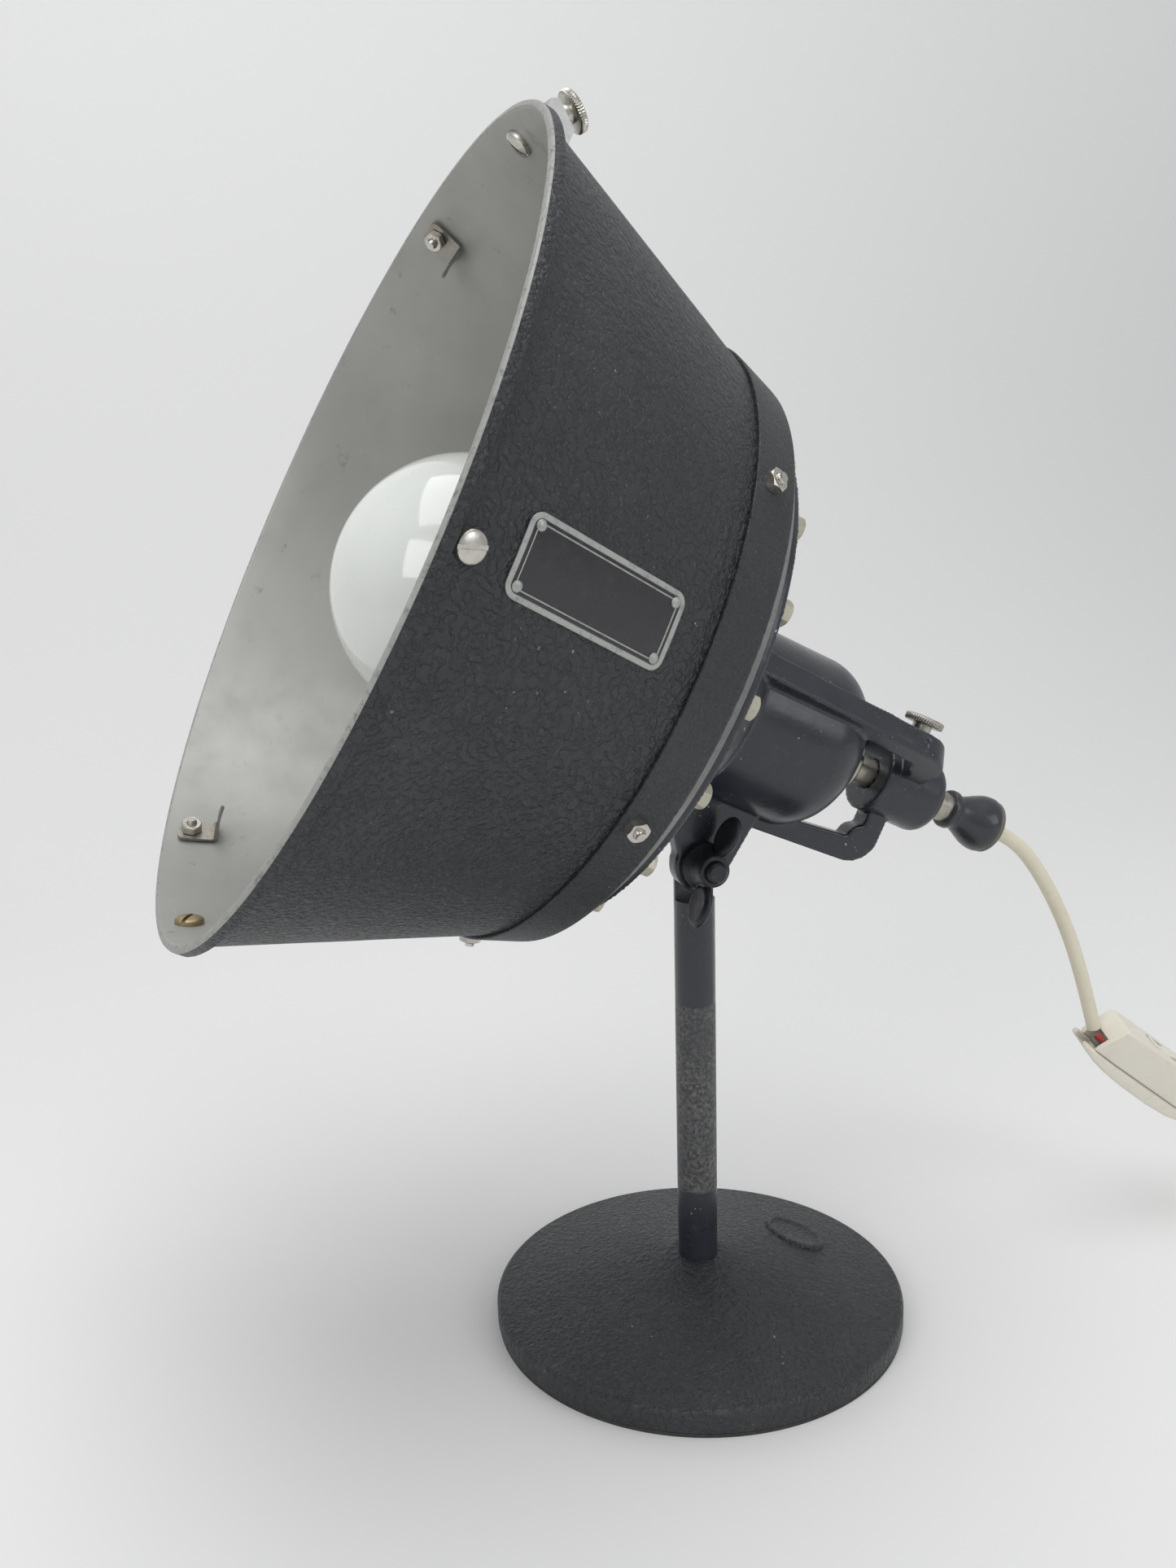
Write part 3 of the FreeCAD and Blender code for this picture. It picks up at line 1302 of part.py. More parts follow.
switch_screw = new_body("switch_screw")
screw_low = -size.switch_floor_height
revolve(switch_screw, [[
    (ZERO, screw_low + 0.3), (size.switch_screw_radius, screw_low + 0.3),
    (size.switch_screw_radius, size.switch_screw_radius * 5 - 0.5),
    (ZERO, size.switch_screw_radius * 5 - 0.5),
]])
copies("switch_screws", switch_screw, [
    SWITCH.multiply(Placement(Vector(value(x), 0, 0), Rotation())) for x, y in screw_spots])
contacts = new_body("switch_contacts", SWITCH)
contact_floor = -size.switch_floor_height + size.switch_wall
contact_sketch = new_sketch(contacts, "XY_Plane", lift=contact_floor)
for side in (1, -1):
    middle_side = size.rocker_width * 0.7 * side
    draw_loop(contact_sketch, rectangle(middle - size.contact_length / 2, middle_side - 1.5,
                                        middle + size.contact_length / 2, middle_side + 1.5))
extrude(contacts, contact_sketch, size.switch_floor_height - size.switch_wall)
doc.recompute()

box = Part.makeBox(SIZES["switch_length"], 60, 60, Vector(0, -30, -30))
box.Placement = SWITCH.multiply(box.Placement)

drop_edges = route_edges(DROP_ROUTE, "cord_drop")
lead_end = (DROP_ROUTE[2] + DROP_ROUTE[3]) * 0.5
lead_half, drop_half = split_at(drop_edges[4], lead_end)
lead_edges = drop_edges[:4] + [lead_half]
rest_edges = [drop_half] + drop_edges[5:]
cord_tube("cord_lead", lead_edges)
cord_tube("cord_drop", rest_edges, [box])

coil = new_body("cord_coil", Placement(COIL_CENTRE, Rotation()))
coil_half = size.coil_columns * size.cord_radius
revolve(coil, [[
    (size.coil_radius - coil_half, 1), (size.coil_radius - coil_half + 1, ZERO),
    (size.coil_radius + coil_half - 1, ZERO), (size.coil_radius + coil_half, 1),
    (size.coil_radius + coil_half, size.coil_height - 1),
    (size.coil_radius + coil_half - 1, size.coil_height),
    (size.coil_radius - coil_half + 1, size.coil_height),
    (size.coil_radius - coil_half, size.coil_height - 1),
]])
doc.recompute()
coil_block = Part.makeCylinder(value(size.coil_radius + coil_half), value(size.coil_height) + 10,
                               COIL_CENTRE - Vector(0, 0, 5))
cord_tube("cord_floor", route_edges(FLOOR_ROUTE, "cord_floor"), [box, coil_block])

PLUG_WAY = TAIL_ROUTE[-1] - TAIL_ROUTE[-2]
PLUG_WAY.z = 0
PLUG_WAY.normalize()
PLUG = Placement(TAIL_ROUTE[-1], Rotation(PLUG_WAY, Vector(0, 0, 1).cross(PLUG_WAY),
                                          Vector(0, 0, 1), "XZY"))
plug = new_body("plug_body", PLUG)
plug_side = new_sketch(plug, "XY_Plane", lift=-size.plug_thick / 2)
plug_half = size.plug_width / 2
draw_loop(plug_side, [
    (size.plug_neck, -size.plug_neck_radius), (size.plug_neck + 8, -plug_half),
    (size.plug_length, -plug_half), (size.plug_length, plug_half),
    (size.plug_neck + 8, plug_half), (size.plug_neck, size.plug_neck_radius),
])
extrude(plug, plug_side, size.plug_thick)
neck = new_sketch(plug, "YZ_Plane")
draw_circle(neck, 0, 0, size.plug_neck_radius)
extrude(plug, neck, size.plug_neck + 4)
pin_holes = new_sketch(plug, "YZ_Plane", lift=size.plug_length - size.pin_length / 2)
for side in (1, -1):
    draw_circle(pin_holes, size.pin_spacing / 2 * side, 0, size.pin_radius)
extrude(plug, pin_holes, size.pin_length, flip=True, cut=True)
pins = new_body("plug_pins", PLUG)
pin_sketch = new_sketch(pins, "YZ_Plane", lift=size.plug_length - size.pin_length / 2)
for side in (1, -1):
    draw_circle(pin_sketch, size.pin_spacing / 2 * side, 0, size.pin_radius)
extrude(pins, pin_sketch, size.pin_length * 1.5)
doc.recompute()
plug_box = Part.makeBox(80, 60, 60, Vector(0, -30, -30))
plug_box.Placement = PLUG.multiply(plug_box.Placement)
cord_tube("cord_tail", route_edges(TAIL_ROUTE + [TAIL_ROUTE[-1] + PLUG_WAY * 6], "cord_tail"),
          [coil_block, plug_box])

# ---------------------------------------------------------------------------
# Check every object, then write one file per node
# ---------------------------------------------------------------------------
NODES = [
    "base_casting", "foot_ring", "post", "post_washer", "post_nut", "hinge_stud",
    "hinge_washer", "wing_nut", "lamp_house", "rear_dish", "shade_cone", "flange_bolts",
    "flange_nuts", "seam_screws", "seam_nuts", "clip_screws", "clip_spacers", "clip_nuts",
    "spring_clip_1", "spring_clip_2", "spring_clip_3", "rim_screws", "rim_nut", "clamp_block",
    "rim_thumbscrew", "name_plate", "plate_rivets", "tube_bush", "lock_screw", "focus_tube",
    "cord_gland", "gland_ring", "tube_lead", "socket_carrier", "holder_body", "holder_shell",
    "centre_contact", "holder_screws", "bulb_globe", "bulb_cap", "bulb_contact",
    "filament_mount", "cord_lead", "cord_drop", "cord_floor", "cord_coil", "cord_tail",
    "plug_body", "plug_pins", "switch_base", "switch_cover", "switch_rocker", "switch_screws",
    "switch_contacts",
]

doc.recompute()
problems = []
for item in doc.Objects:
    if any(word in str(item.State) for word in ("Invalid", "Error")):
        problems.append("%s: %s" % (item.Label, item.State))
for name in NODES:
    found = doc.getObjectsByLabel(name)
    if len(found) != 1:
        problems.append("%s: %d objects" % (name, len(found)))
        continue
    shape = found[0].Shape
    if shape.isNull() or not shape.isValid() or not shape.Solids:
        problems.append("%s: bad shape" % name)
if problems:
    raise RuntimeError("; ".join(problems))
for name in NODES:
    shape = doc.getObjectsByLabel(name)[0].Shape
    print("%-16s %2d solids %10.1f mm3" % (name, len(shape.Solids), shape.Volume))
    shape.exportStep("parts/%s.step" % name)
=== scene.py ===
import bmesh
import bpy
import json
from math import (asin, atan, atan2, copysign, cos, degrees, hypot, pi, radians, sin, sqrt,
                  tan)
from mathutils import Matrix, Vector, noise


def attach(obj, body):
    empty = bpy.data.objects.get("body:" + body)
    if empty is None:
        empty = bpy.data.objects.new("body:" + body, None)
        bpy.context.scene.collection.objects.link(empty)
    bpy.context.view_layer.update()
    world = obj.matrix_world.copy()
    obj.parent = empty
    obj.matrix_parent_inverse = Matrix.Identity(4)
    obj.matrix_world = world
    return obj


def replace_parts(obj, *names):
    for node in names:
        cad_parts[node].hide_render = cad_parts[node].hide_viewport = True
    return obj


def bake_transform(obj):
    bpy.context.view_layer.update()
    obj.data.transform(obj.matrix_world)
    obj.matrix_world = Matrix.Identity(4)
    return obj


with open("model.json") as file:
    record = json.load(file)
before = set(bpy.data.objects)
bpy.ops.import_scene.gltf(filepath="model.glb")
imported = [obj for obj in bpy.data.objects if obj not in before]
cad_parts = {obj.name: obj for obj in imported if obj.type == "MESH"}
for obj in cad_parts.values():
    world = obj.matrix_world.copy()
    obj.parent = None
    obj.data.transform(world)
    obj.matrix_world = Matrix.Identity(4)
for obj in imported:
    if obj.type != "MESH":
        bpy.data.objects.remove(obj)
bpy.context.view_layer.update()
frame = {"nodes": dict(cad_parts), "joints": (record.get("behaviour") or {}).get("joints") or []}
MM = 0.001
JOINTS = {joint["name"]: joint for joint in frame["joints"]}

# --- The head's own frame: x sideways, y up, z along the light, in millimetres ---
LIGHT = Vector(JOINTS["focus_slide"]["axis"]).normalized()
UPWARD = Vector((0, LIGHT.z, -LIGHT.y))
JOINT = Vector(JOINTS["head_tilt"]["pos_m"])
AXIS_HEIGHT = 58 * MM
ORIGIN = JOINT + UPWARD * AXIS_HEIGHT
TURN = Matrix((Vector((1, 0, 0)), UPWARD, LIGHT)).transposed().to_4x4()
HEAD = Matrix.Translation(ORIGIN) @ TURN
STAND = Matrix.Identity(4)


def turned(angle):
    """The head's frame turned about the light axis."""
    return HEAD @ Matrix.Rotation(radians(angle), 4, "Z")


def on_wall(angle, radius, face, slope, depth=0.0):
    """A place on a conical wall of the head, its z along the outward normal; millimetres."""
    lean = atan(slope)
    local = Matrix.Translation(Vector((radius, 0, face)) * MM)
    local = local @ Matrix.Rotation(pi / 2 + lean, 4, "Y")
    return turned(angle) @ local @ Matrix.Translation((0, 0, -depth * MM))


# --- Node-material helpers ---


class Shader:
    """Small builder for a Principled material."""

    def __init__(self, name, rough=0.5, metallic=0.0, coat=0.0, specular=0.5):
        self.material = bpy.data.materials.new(name)
        self.material.use_nodes = True
        self.tree = self.material.node_tree
        self.nodes = self.tree.nodes
        self.shader = self.nodes["Principled BSDF"]
        self.shader.inputs["Roughness"].default_value = rough
        self.shader.inputs["Metallic"].default_value = metallic
        self.shader.inputs["Coat Weight"].default_value = coat
        self.shader.inputs["Specular IOR Level"].default_value = specular
        self.place = self.add("ShaderNodeTexCoord").outputs["Object"]
        self.height = None

    def add(self, kind, **settings):
        node = self.nodes.new(kind)
        for key, setting in settings.items():
            setattr(node, key, setting)
        return node

    def link(self, source, target):
        self.tree.links.new(source, target)

    def feed(self, node, socket, item):
        if isinstance(item, bpy.types.NodeSocket):
            self.link(item, node.inputs[socket])
        elif item is not None:
            node.inputs[socket].default_value = item

    def noise(self, scale, detail=4.0, rough=0.55, stretch=None, place=None, warp=0.0):
        """Noise with features about scale millimetres across."""
        node = self.add("ShaderNodeTexNoise")
        source = place or self.place
        if stretch is not None:
            mapping = self.add("ShaderNodeMapping")
            mapping.inputs["Scale"].default_value = stretch
            self.link(source, mapping.inputs["Vector"])
            source = mapping.outputs["Vector"]
        self.link(source, node.inputs["Vector"])
        node.inputs["Scale"].default_value = 1000.0 / scale
        node.inputs["Detail"].default_value = detail
        node.inputs["Roughness"].default_value = rough
        node.inputs["Distortion"].default_value = warp
        return node.outputs["Fac"]

    def cells(self, scale, feature="DISTANCE_TO_EDGE", jitter=1.0, place=None):
        node = self.add("ShaderNodeTexVoronoi", feature=feature)
        self.link(place or self.place, node.inputs["Vector"])
        node.inputs["Scale"].default_value = 1000.0 / scale
        node.inputs["Randomness"].default_value = jitter
        return node.outputs["Distance"]

    def ramp(self, value, low, high, start=0.0, end=1.0):
        """Map value from low..high to start..end, smoothly and clamped."""
        node = self.add("ShaderNodeMapRange", interpolation_type="SMOOTHSTEP")
        self.feed(node, "Value", value)
        self.feed(node, "From Min", low)
        self.feed(node, "From Max", high)
        self.feed(node, "To Min", start)
        self.feed(node, "To Max", end)
        return node.outputs["Result"]

    def math(self, kind, first, second=None, third=None):
        node = self.add("ShaderNodeMath", operation=kind)
        self.feed(node, 0, first)
        self.feed(node, 1, second)
        self.feed(node, 2, third)
        return node.outputs["Value"]

    def mix(self, factor, first, second):
        node = self.add("ShaderNodeMix", data_type="RGBA")
        self.feed(node, "Factor", factor)
        for socket, item in ((6, first), (7, second)):
            if isinstance(item, bpy.types.NodeSocket):
                self.link(item, node.inputs[socket])
            else:
                node.inputs[socket].default_value = (*item, 1.0)
        return node.outputs[2]

    def color(self, socket):
        self.link(socket, self.shader.inputs["Base Color"])

    def rough(self, socket):
        self.link(socket, self.shader.inputs["Roughness"])

    def bump(self, value, depth):
        """Stack a bump of the given depth in millimetres."""
        node = self.add("ShaderNodeBump")
        node.inputs["Distance"].default_value = depth * MM
        node.inputs["Strength"].default_value = 1.0
        self.link(value, node.inputs["Height"])
        if self.height is not None:
            self.link(self.height, node.inputs["Normal"])
        self.height = node.outputs["Normal"]
        self.link(self.height, self.shader.inputs["Normal"])

    def in_frame(self, matrix):
        """Coordinates of the point in another frame, in metres."""
        node = self.add("ShaderNodeMapping", vector_type="TEXTURE")
        node.inputs["Location"].default_value = matrix.to_translation()
        node.inputs["Rotation"].default_value = matrix.to_euler()
        self.link(self.place, node.inputs["Vector"])
        return node.outputs["Vector"]

    def parts(self, vector):
        node = self.add("ShaderNodeSeparateXYZ")
        self.link(vector, node.inputs[0])
        return node.outputs[0], node.outputs[1], node.outputs[2]

    def radius(self, x, y):
        return self.math("SQRT", self.math("ADD", self.math("MULTIPLY", x, x),
                                           self.math("MULTIPLY", y, y)))


def crackle_paint(name, grain=2.4, relief=0.34, worn=None, frame_matrix=HEAD):
    """Black wrinkle enamel; worn is the (low, high) band of faces where it is rubbed grey, mm."""
    s = Shader(name, rough=0.42, specular=0.45)
    warp = s.add("ShaderNodeVectorMath", operation="MULTIPLY_ADD")
    swirl = s.add("ShaderNodeTexNoise")
    swirl.inputs["Scale"].default_value = 300
    s.link(s.place, swirl.inputs["Vector"])
    s.link(swirl.outputs["Color"], warp.inputs[0])
    warp.inputs[1].default_value = (0.0022, 0.0022, 0.0022)
    s.link(s.place, warp.inputs[2])
    bent = warp.outputs["Vector"]
    fold = s.math("ABSOLUTE", s.math("SUBTRACT", s.noise(grain * 1.5, 2.0, 0.5, place=bent), 0.5))
    pebble = s.cells(grain, feature="F1", place=bent)
    small = s.noise(grain * 0.45, 2.0, 0.5)
    height = s.math("ADD", s.ramp(fold, 0.0, 0.09), s.ramp(pebble, 0.15, 0.65, 0.9, 0.0))
    height = s.math("MULTIPLY_ADD", small, 0.5, height)
    s.bump(height, relief)
    # Painted shade: the wrinkle valleys are darkened to near-black, as if shaded in the creases.
    painted_crease_shade = s.ramp(fold, 0.0, 0.035, 0.55, 0.0)
    shade = s.mix(s.noise(9.0, 5.0, 0.6), (0.019, 0.0215, 0.0245), (0.032, 0.0355, 0.040))
    shade = s.mix(painted_crease_shade, shade, (0.008, 0.009, 0.010))
    dust = s.ramp(s.noise(60.0, 6.0, 0.7), 0.46, 0.78, 0.0, 0.22)
    shade = s.mix(dust, shade, (0.075, 0.078, 0.08))
    specks = s.math("MULTIPLY", s.ramp(s.noise(1.5, 2.0, 0.4), 0.72, 0.78),
                    s.ramp(s.noise(30.0, 3.0, 0.6), 0.5, 0.7))
    shade = s.mix(specks, shade, (0.36, 0.36, 0.34))
    if worn is not None:
        x, y, face = s.parts(s.in_frame(frame_matrix))
        ragged = s.math("MULTIPLY_ADD", s.noise(3.0, 5.0, 0.7), 0.0022, -0.0011)
        edge = s.math("ADD", face, ragged)
        band = s.math("MULTIPLY", s.ramp(edge, (worn[0] - 0.5) * MM, (worn[0] + 0.4) * MM),
                      s.ramp(edge, (worn[1] - 0.6) * MM, (worn[1] + 0.3) * MM, 1.0, 0.0))
        band = s.math("MULTIPLY", band, s.ramp(s.noise(26.0, 4.0, 0.6), 0.25, 0.55, 0.45, 1.0))
        streak = s.noise(1.1, 4.0, 0.65)
        shade = s.mix(band, shade, s.mix(streak, (0.075, 0.077, 0.078), (0.25, 0.25, 0.245)))
    s.color(shade)
    s.rough(s.ramp(small, 0.25, 0.75, 0.36, 0.56))
    return s.material


def aluminium_paint(name):
    """Satin aluminium paint inside the reflector: brushed round, faintly stained."""
    s = Shader(name, rough=0.46, metallic=0.35)
    broad = s.noise(75.0, 4.0, 0.55)
    patch = s.noise(24.0, 5.0, 0.6)
    fine = s.noise(1.0, 3.0, 0.6)
    shade = s.mix(s.ramp(broad, 0.3, 0.7), (0.335, 0.335, 0.32), (0.395, 0.395, 0.375))
    shade = s.mix(s.ramp(patch, 0.55, 0.8, 0.0, 0.3), shade, (0.27, 0.255, 0.225))
    x, y, face = s.parts(s.in_frame(HEAD))
    rim = s.ramp(face, 0.128, 0.172)
    stains = s.math("MULTIPLY", s.ramp(s.noise(11.0, 6.0, 0.72), 0.6, 0.72, 0.0, 0.6), rim)
    shade = s.mix(stains, shade, (0.21, 0.165, 0.12))
    spots = s.ramp(s.noise(2.6, 3.0, 0.6), 0.7, 0.77, 0.0, 0.6)
    shade = s.mix(s.math("MULTIPLY", spots, s.ramp(patch, 0.45, 0.6)), shade, (0.2, 0.165, 0.13))
    scratches = s.ramp(s.noise(3.0, 5.0, 0.6, stretch=(0.06, 1.0, 1.0)), 0.68, 0.74, 0.0, 0.35)
    shade = s.mix(scratches, shade, (0.55, 0.55, 0.53))
    s.color(shade)
    s.rough(s.ramp(patch, 0.3, 0.75, 0.42, 0.56))
    s.bump(fine, 0.03)
    s.bump(patch, 0.12)
    return s.material


def house_enamel(name, worn=None):
    """Smooth semi-gloss blue-black enamel; worn is a (low, high) band of rubbed knurling, mm."""
    s = Shader(name, rough=0.3, coat=0.25, specular=0.5)
    s.shader.inputs["Coat Roughness"].default_value = 0.18
    broad = s.noise(26.0, 5.0, 0.6)
    fine = s.noise(2.2, 4.0, 0.6)
    shade = s.mix(broad, (0.010, 0.012, 0.018), (0.026, 0.030, 0.042))
    dust = s.ramp(s.noise(7.0, 6.0, 0.75), 0.56, 0.78, 0.0, 0.35)
    shade = s.mix(dust, shade, (0.10, 0.10, 0.10))
    chips = s.math("MULTIPLY", s.ramp(s.noise(1.6, 3.0, 0.5), 0.69, 0.73),
                   s.ramp(s.noise(20.0, 3.0, 0.6), 0.5, 0.65))
    shade = s.mix(chips, shade, (0.45, 0.44, 0.42))
    gloss = s.ramp(broad, 0.3, 0.7, 0.24, 0.42)
    s.bump(fine, 0.06)
    s.bump(broad, 0.35)
    if worn is not None:
        x, y, z = s.parts(s.place)
        edge = s.math("MULTIPLY_ADD", s.noise(2.5, 4.0, 0.7), 0.004, s.math("SUBTRACT", z, 0.002))
        band = s.math("MULTIPLY", s.ramp(edge, (worn[0] - 0.6) * MM, (worn[0] + 0.6) * MM),
                      s.ramp(edge, (worn[1] - 0.6) * MM, (worn[1] + 0.6) * MM, 1.0, 0.0))
        mottle = s.ramp(s.noise(1.6, 4.0, 0.7), 0.38, 0.66)
        rubbed = s.mix(mottle, (0.034, 0.036, 0.040), (0.16, 0.16, 0.158))
        shade = s.mix(band, shade, s.mix(s.ramp(s.noise(14.0, 3.0, 0.6), 0.35, 0.65, 0.0, 0.6),
                                         rubbed, (0.05, 0.052, 0.056)))
        gloss = s.math("MAXIMUM", gloss, s.math("MULTIPLY", band, 0.55))
        around = s.math("MULTIPLY", s.math("ARCTAN2", y, x), 34.0)
        lines = s.math("MULTIPLY", s.math("SINE", s.math("MULTIPLY_ADD", z, 4200.0, around)),
                       s.math("SINE", s.math("MULTIPLY_ADD", z, -4200.0, around)))
        s.bump(s.math("MULTIPLY", lines, band), 0.10)
    s.color(shade)
    s.rough(gloss)
    return s.material


def worn_metal(name, light, dark, rough=0.35, stain=(0.10, 0.075, 0.045), amount=0.45,
               metallic=1.0, grain=None):
    """A bare or plated metal with tarnish in patches and fine marks."""
    s = Shader(name, rough=rough, metallic=metallic)
    patch = s.noise(5.0, 6.0, 0.65)
    fine = s.noise(0.7, 3.0, 0.6)
    shade = s.mix(patch, dark, light)
    shade = s.mix(s.ramp(s.noise(2.4, 6.0, 0.7), 0.5, 0.75, 0.0, amount), shade, stain)
    s.color(shade)
    s.rough(s.ramp(patch, 0.3, 0.7, rough * 0.8, min(1.0, rough * 1.6)))
    s.bump(fine, 0.03)
    if grain is not None:
        s.bump(s.noise(0.5, 2.0, 0.5, stretch=grain), 0.03)
    return s.material


def plastic(name, light, dark, grime=(0.36, 0.30, 0.21), rough=0.32, amount=0.35, coat=0.1):
    """Moulded plastic, yellowed a little, with grime in patches."""
    s = Shader(name, rough=rough, coat=coat)
    broad = s.noise(22.0, 5.0, 0.6)
    shade = s.mix(broad, light, dark)
    shade = s.mix(s.ramp(s.noise(6.0, 6.0, 0.72), 0.52, 0.8, 0.0, amount), shade, grime)
    s.color(shade)
    s.rough(s.ramp(s.noise(3.0, 4.0, 0.6), 0.3, 0.7, rough * 0.8, rough * 1.4))
    s.bump(s.noise(0.8, 3.0, 0.5), 0.02)
    s.bump(s.noise(9.0, 3.0, 0.5), 0.12)
    return s.material


def opal_glass(name):
    s = Shader(name, rough=0.12, coat=0.6, specular=0.6)
    s.shader.inputs["Coat Roughness"].default_value = 0.04
    s.shader.inputs["Subsurface Weight"].default_value = 0.25
    s.shader.inputs["Subsurface Radius"].default_value = (0.01, 0.01, 0.01)
    s.shader.inputs["Subsurface Scale"].default_value = 0.5
    broad = s.noise(40.0, 3.0, 0.5)
    shade = s.mix(broad, (0.70, 0.73, 0.70), (0.76, 0.78, 0.75))
    specks = s.ramp(s.noise(1.5, 2.0, 0.4), 0.72, 0.76, 0.0, 0.25)
    shade = s.mix(specks, shade, (0.4, 0.38, 0.33))
    s.color(shade)
    s.rough(s.ramp(s.noise(12.0, 4.0, 0.6), 0.3, 0.8, 0.08, 0.2))
    return s.material


def cord_rubber(name):
    s = Shader(name, rough=0.5, coat=0.05)
    broad = s.noise(18.0, 5.0, 0.65)
    shade = s.mix(broad, (0.76, 0.715, 0.575), (0.66, 0.61, 0.475))
    dirt = s.ramp(s.noise(5.0, 6.0, 0.75), 0.52, 0.8, 0.0, 0.35)
    shade = s.mix(dirt, shade, (0.42, 0.36, 0.25))
    s.color(shade)
    s.rough(s.ramp(broad, 0.3, 0.7, 0.42, 0.62))
    s.bump(s.noise(1.0, 4.0, 0.6), 0.05)
    s.bump(s.noise(6.0, 3.0, 0.5), 0.12)
    return s.material


NICKEL = worn_metal("nickel", (0.52, 0.50, 0.45), (0.30, 0.28, 0.24), rough=0.3)
BRIGHT = worn_metal("bright_nickel", (0.72, 0.70, 0.65), (0.46, 0.44, 0.39), rough=0.24,
                    amount=0.3)
STEEL = worn_metal("steel", (0.36, 0.35, 0.33), (0.2, 0.19, 0.175), rough=0.4,
                   stain=(0.12, 0.06, 0.03))
ALUMINIUM = worn_metal("bare_aluminium", (0.66, 0.66, 0.65), (0.44, 0.44, 0.43), rough=0.36,
                       stain=(0.2, 0.19, 0.17), amount=0.35)
CREAM_METAL = worn_metal("dulled_nickel", (0.60, 0.58, 0.47), (0.44, 0.42, 0.33), rough=0.42,
                         amount=0.3, metallic=0.6)
BRASS = worn_metal("tarnished_brass", (0.52, 0.43, 0.26), (0.26, 0.2, 0.11), rough=0.36)
FELT = plastic("rubber_ring", (0.03, 0.03, 0.03), (0.05, 0.05, 0.048), (0.09, 0.085, 0.08),
               rough=0.75, coat=0.0)
PORCELAIN = plastic("porcelain", (0.72, 0.70, 0.62), (0.62, 0.59, 0.5), (0.3, 0.25, 0.18),
                    rough=0.2, coat=0.4)
SWITCH_WHITE = plastic("switch_plastic", (0.76, 0.73, 0.65), (0.70, 0.66, 0.56),
                       (0.42, 0.35, 0.24), rough=0.34, amount=0.3)
PLUG_WHITE = plastic("plug_plastic", (0.72, 0.68, 0.56), (0.64, 0.59, 0.46),
                     (0.38, 0.31, 0.2), rough=0.38)
# Painted shade: a near-black finish for the cut faces inside the switch's mouths, rocker slot and
# cradle.
PAINTED_SHADE = plastic("painted_shade_inside", (0.03, 0.028, 0.025), (0.06, 0.055, 0.05), (0.12, 0.1, 0.08),
               rough=0.6, coat=0.0)
WIRE_RED = plastic("red_wire", (0.45, 0.03, 0.02), (0.3, 0.02, 0.015), (0.1, 0.02, 0.02),
                   rough=0.45)
CORD = cord_rubber("cream_cord")
OPAL = opal_glass("opal_glass")
HOUSE = house_enamel("house_enamel")
INSIDE = aluminium_paint("reflector_paint")
LIP = worn_metal("worn_lip", (0.46, 0.46, 0.44), (0.26, 0.26, 0.25), rough=0.5,
                 stain=(0.05, 0.05, 0.05), amount=0.75, metallic=0.35)
CRACKLE_SHADE = crackle_paint("crackle_shade")
CRACKLE_DISH = crackle_paint("crackle_dish", grain=1.5, relief=0.12, worn=(58.0, 65.2))
CRACKLE_BASE = crackle_paint("crackle_base", grain=2.6, relief=0.3)
POST_ENAMEL = house_enamel("post_enamel", worn=(56.0, 135.0))
BLACKED = worn_metal("blacked_metal", (0.035, 0.038, 0.045), (0.012, 0.013, 0.017), rough=0.36,
                     stain=(0.11, 0.085, 0.06), amount=0.4, metallic=0.25)
MOULDED = plastic("black_moulding", (0.014, 0.016, 0.021), (0.026, 0.029, 0.036),
                  (0.07, 0.07, 0.07), rough=0.34, amount=0.3, coat=0.3)
RUBBER = plastic("grey_rubber", (0.17, 0.16, 0.14), (0.12, 0.112, 0.098), (0.07, 0.065, 0.055),
                 rough=0.6, coat=0.0)

# --- Mesh helpers; all sizes below are in millimetres in the given frame ---


def placed(name, data):
    """A new object in the scene."""
    piece = bpy.data.objects.new(name, data)
    bpy.context.scene.collection.objects.link(piece)
    return piece


def finish_mesh(name, mesh, body, materials, smooth=35.0, bevel=0.0, segments=2):
    """Link a mesh as a piece riding on a body."""
    for item in materials:
        mesh.materials.append(item)
    for face in mesh.polygons:
        face.use_smooth = True
    mesh.set_sharp_from_angle(angle=radians(smooth))
    piece = placed(name, mesh)
    if bevel:
        modifier = piece.modifiers.new("edges", "BEVEL")
        modifier.width = bevel * MM
        modifier.segments = segments
        modifier.limit_method = "ANGLE"
        modifier.angle_limit = radians(28)
        modifier.harden_normals = True
    if body:
        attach(piece, body)
    return piece


def bare_mesh(name, bm, place):
    """A bmesh in millimetres as a placed mesh."""
    bmesh.ops.recalc_face_normals(bm, faces=bm.faces)
    bm.transform(place @ Matrix.Scale(MM, 4))
    mesh = bpy.data.meshes.new(name)
    bm.to_mesh(mesh)
    bm.free()
    return mesh


def build(name, bm, place, body, materials, **options):
    """Turn a bmesh in millimetres into a placed piece."""
    return finish_mesh(name, bare_mesh(name, bm, place), body, materials, **options)


def loop(bm, points, place=None):
    """A row of new vertices at the points."""
    place = place or Matrix.Identity(4)
    return [bm.verts.new(place @ Vector(point)) for point in points]


def circle(radius, height, steps):
    """Points of a level circle."""
    return [(radius * cos(2 * pi * k / steps),
             radius * sin(2 * pi * k / steps), height) for k in range(steps)]


def skin(bm, rows, closed=True, finish=None):
    """Quads from each row of vertices to the next; finish names each band's material."""
    for k, (low, high) in enumerate(zip(rows, rows[1:])):
        for i in range(len(low) if closed else len(low) - 1):
            j = (i + 1) % len(low)
            face = bm.faces.new((low[i], low[j], high[j], high[i]))
            face.material_index = finish[k] if finish else 0


def tube(bm, rows):
    """Skin rows of vertices and close both ends."""
    skin(bm, rows)
    bm.faces.new(rows[0][::-1])
    bm.faces.new(rows[-1])


def baked(piece):
    """The piece's mesh with its modifiers applied."""
    bpy.context.view_layer.update()
    depsgraph = bpy.context.evaluated_depsgraph_get()
    return bpy.data.meshes.new_from_object(piece.evaluated_get(depsgraph))


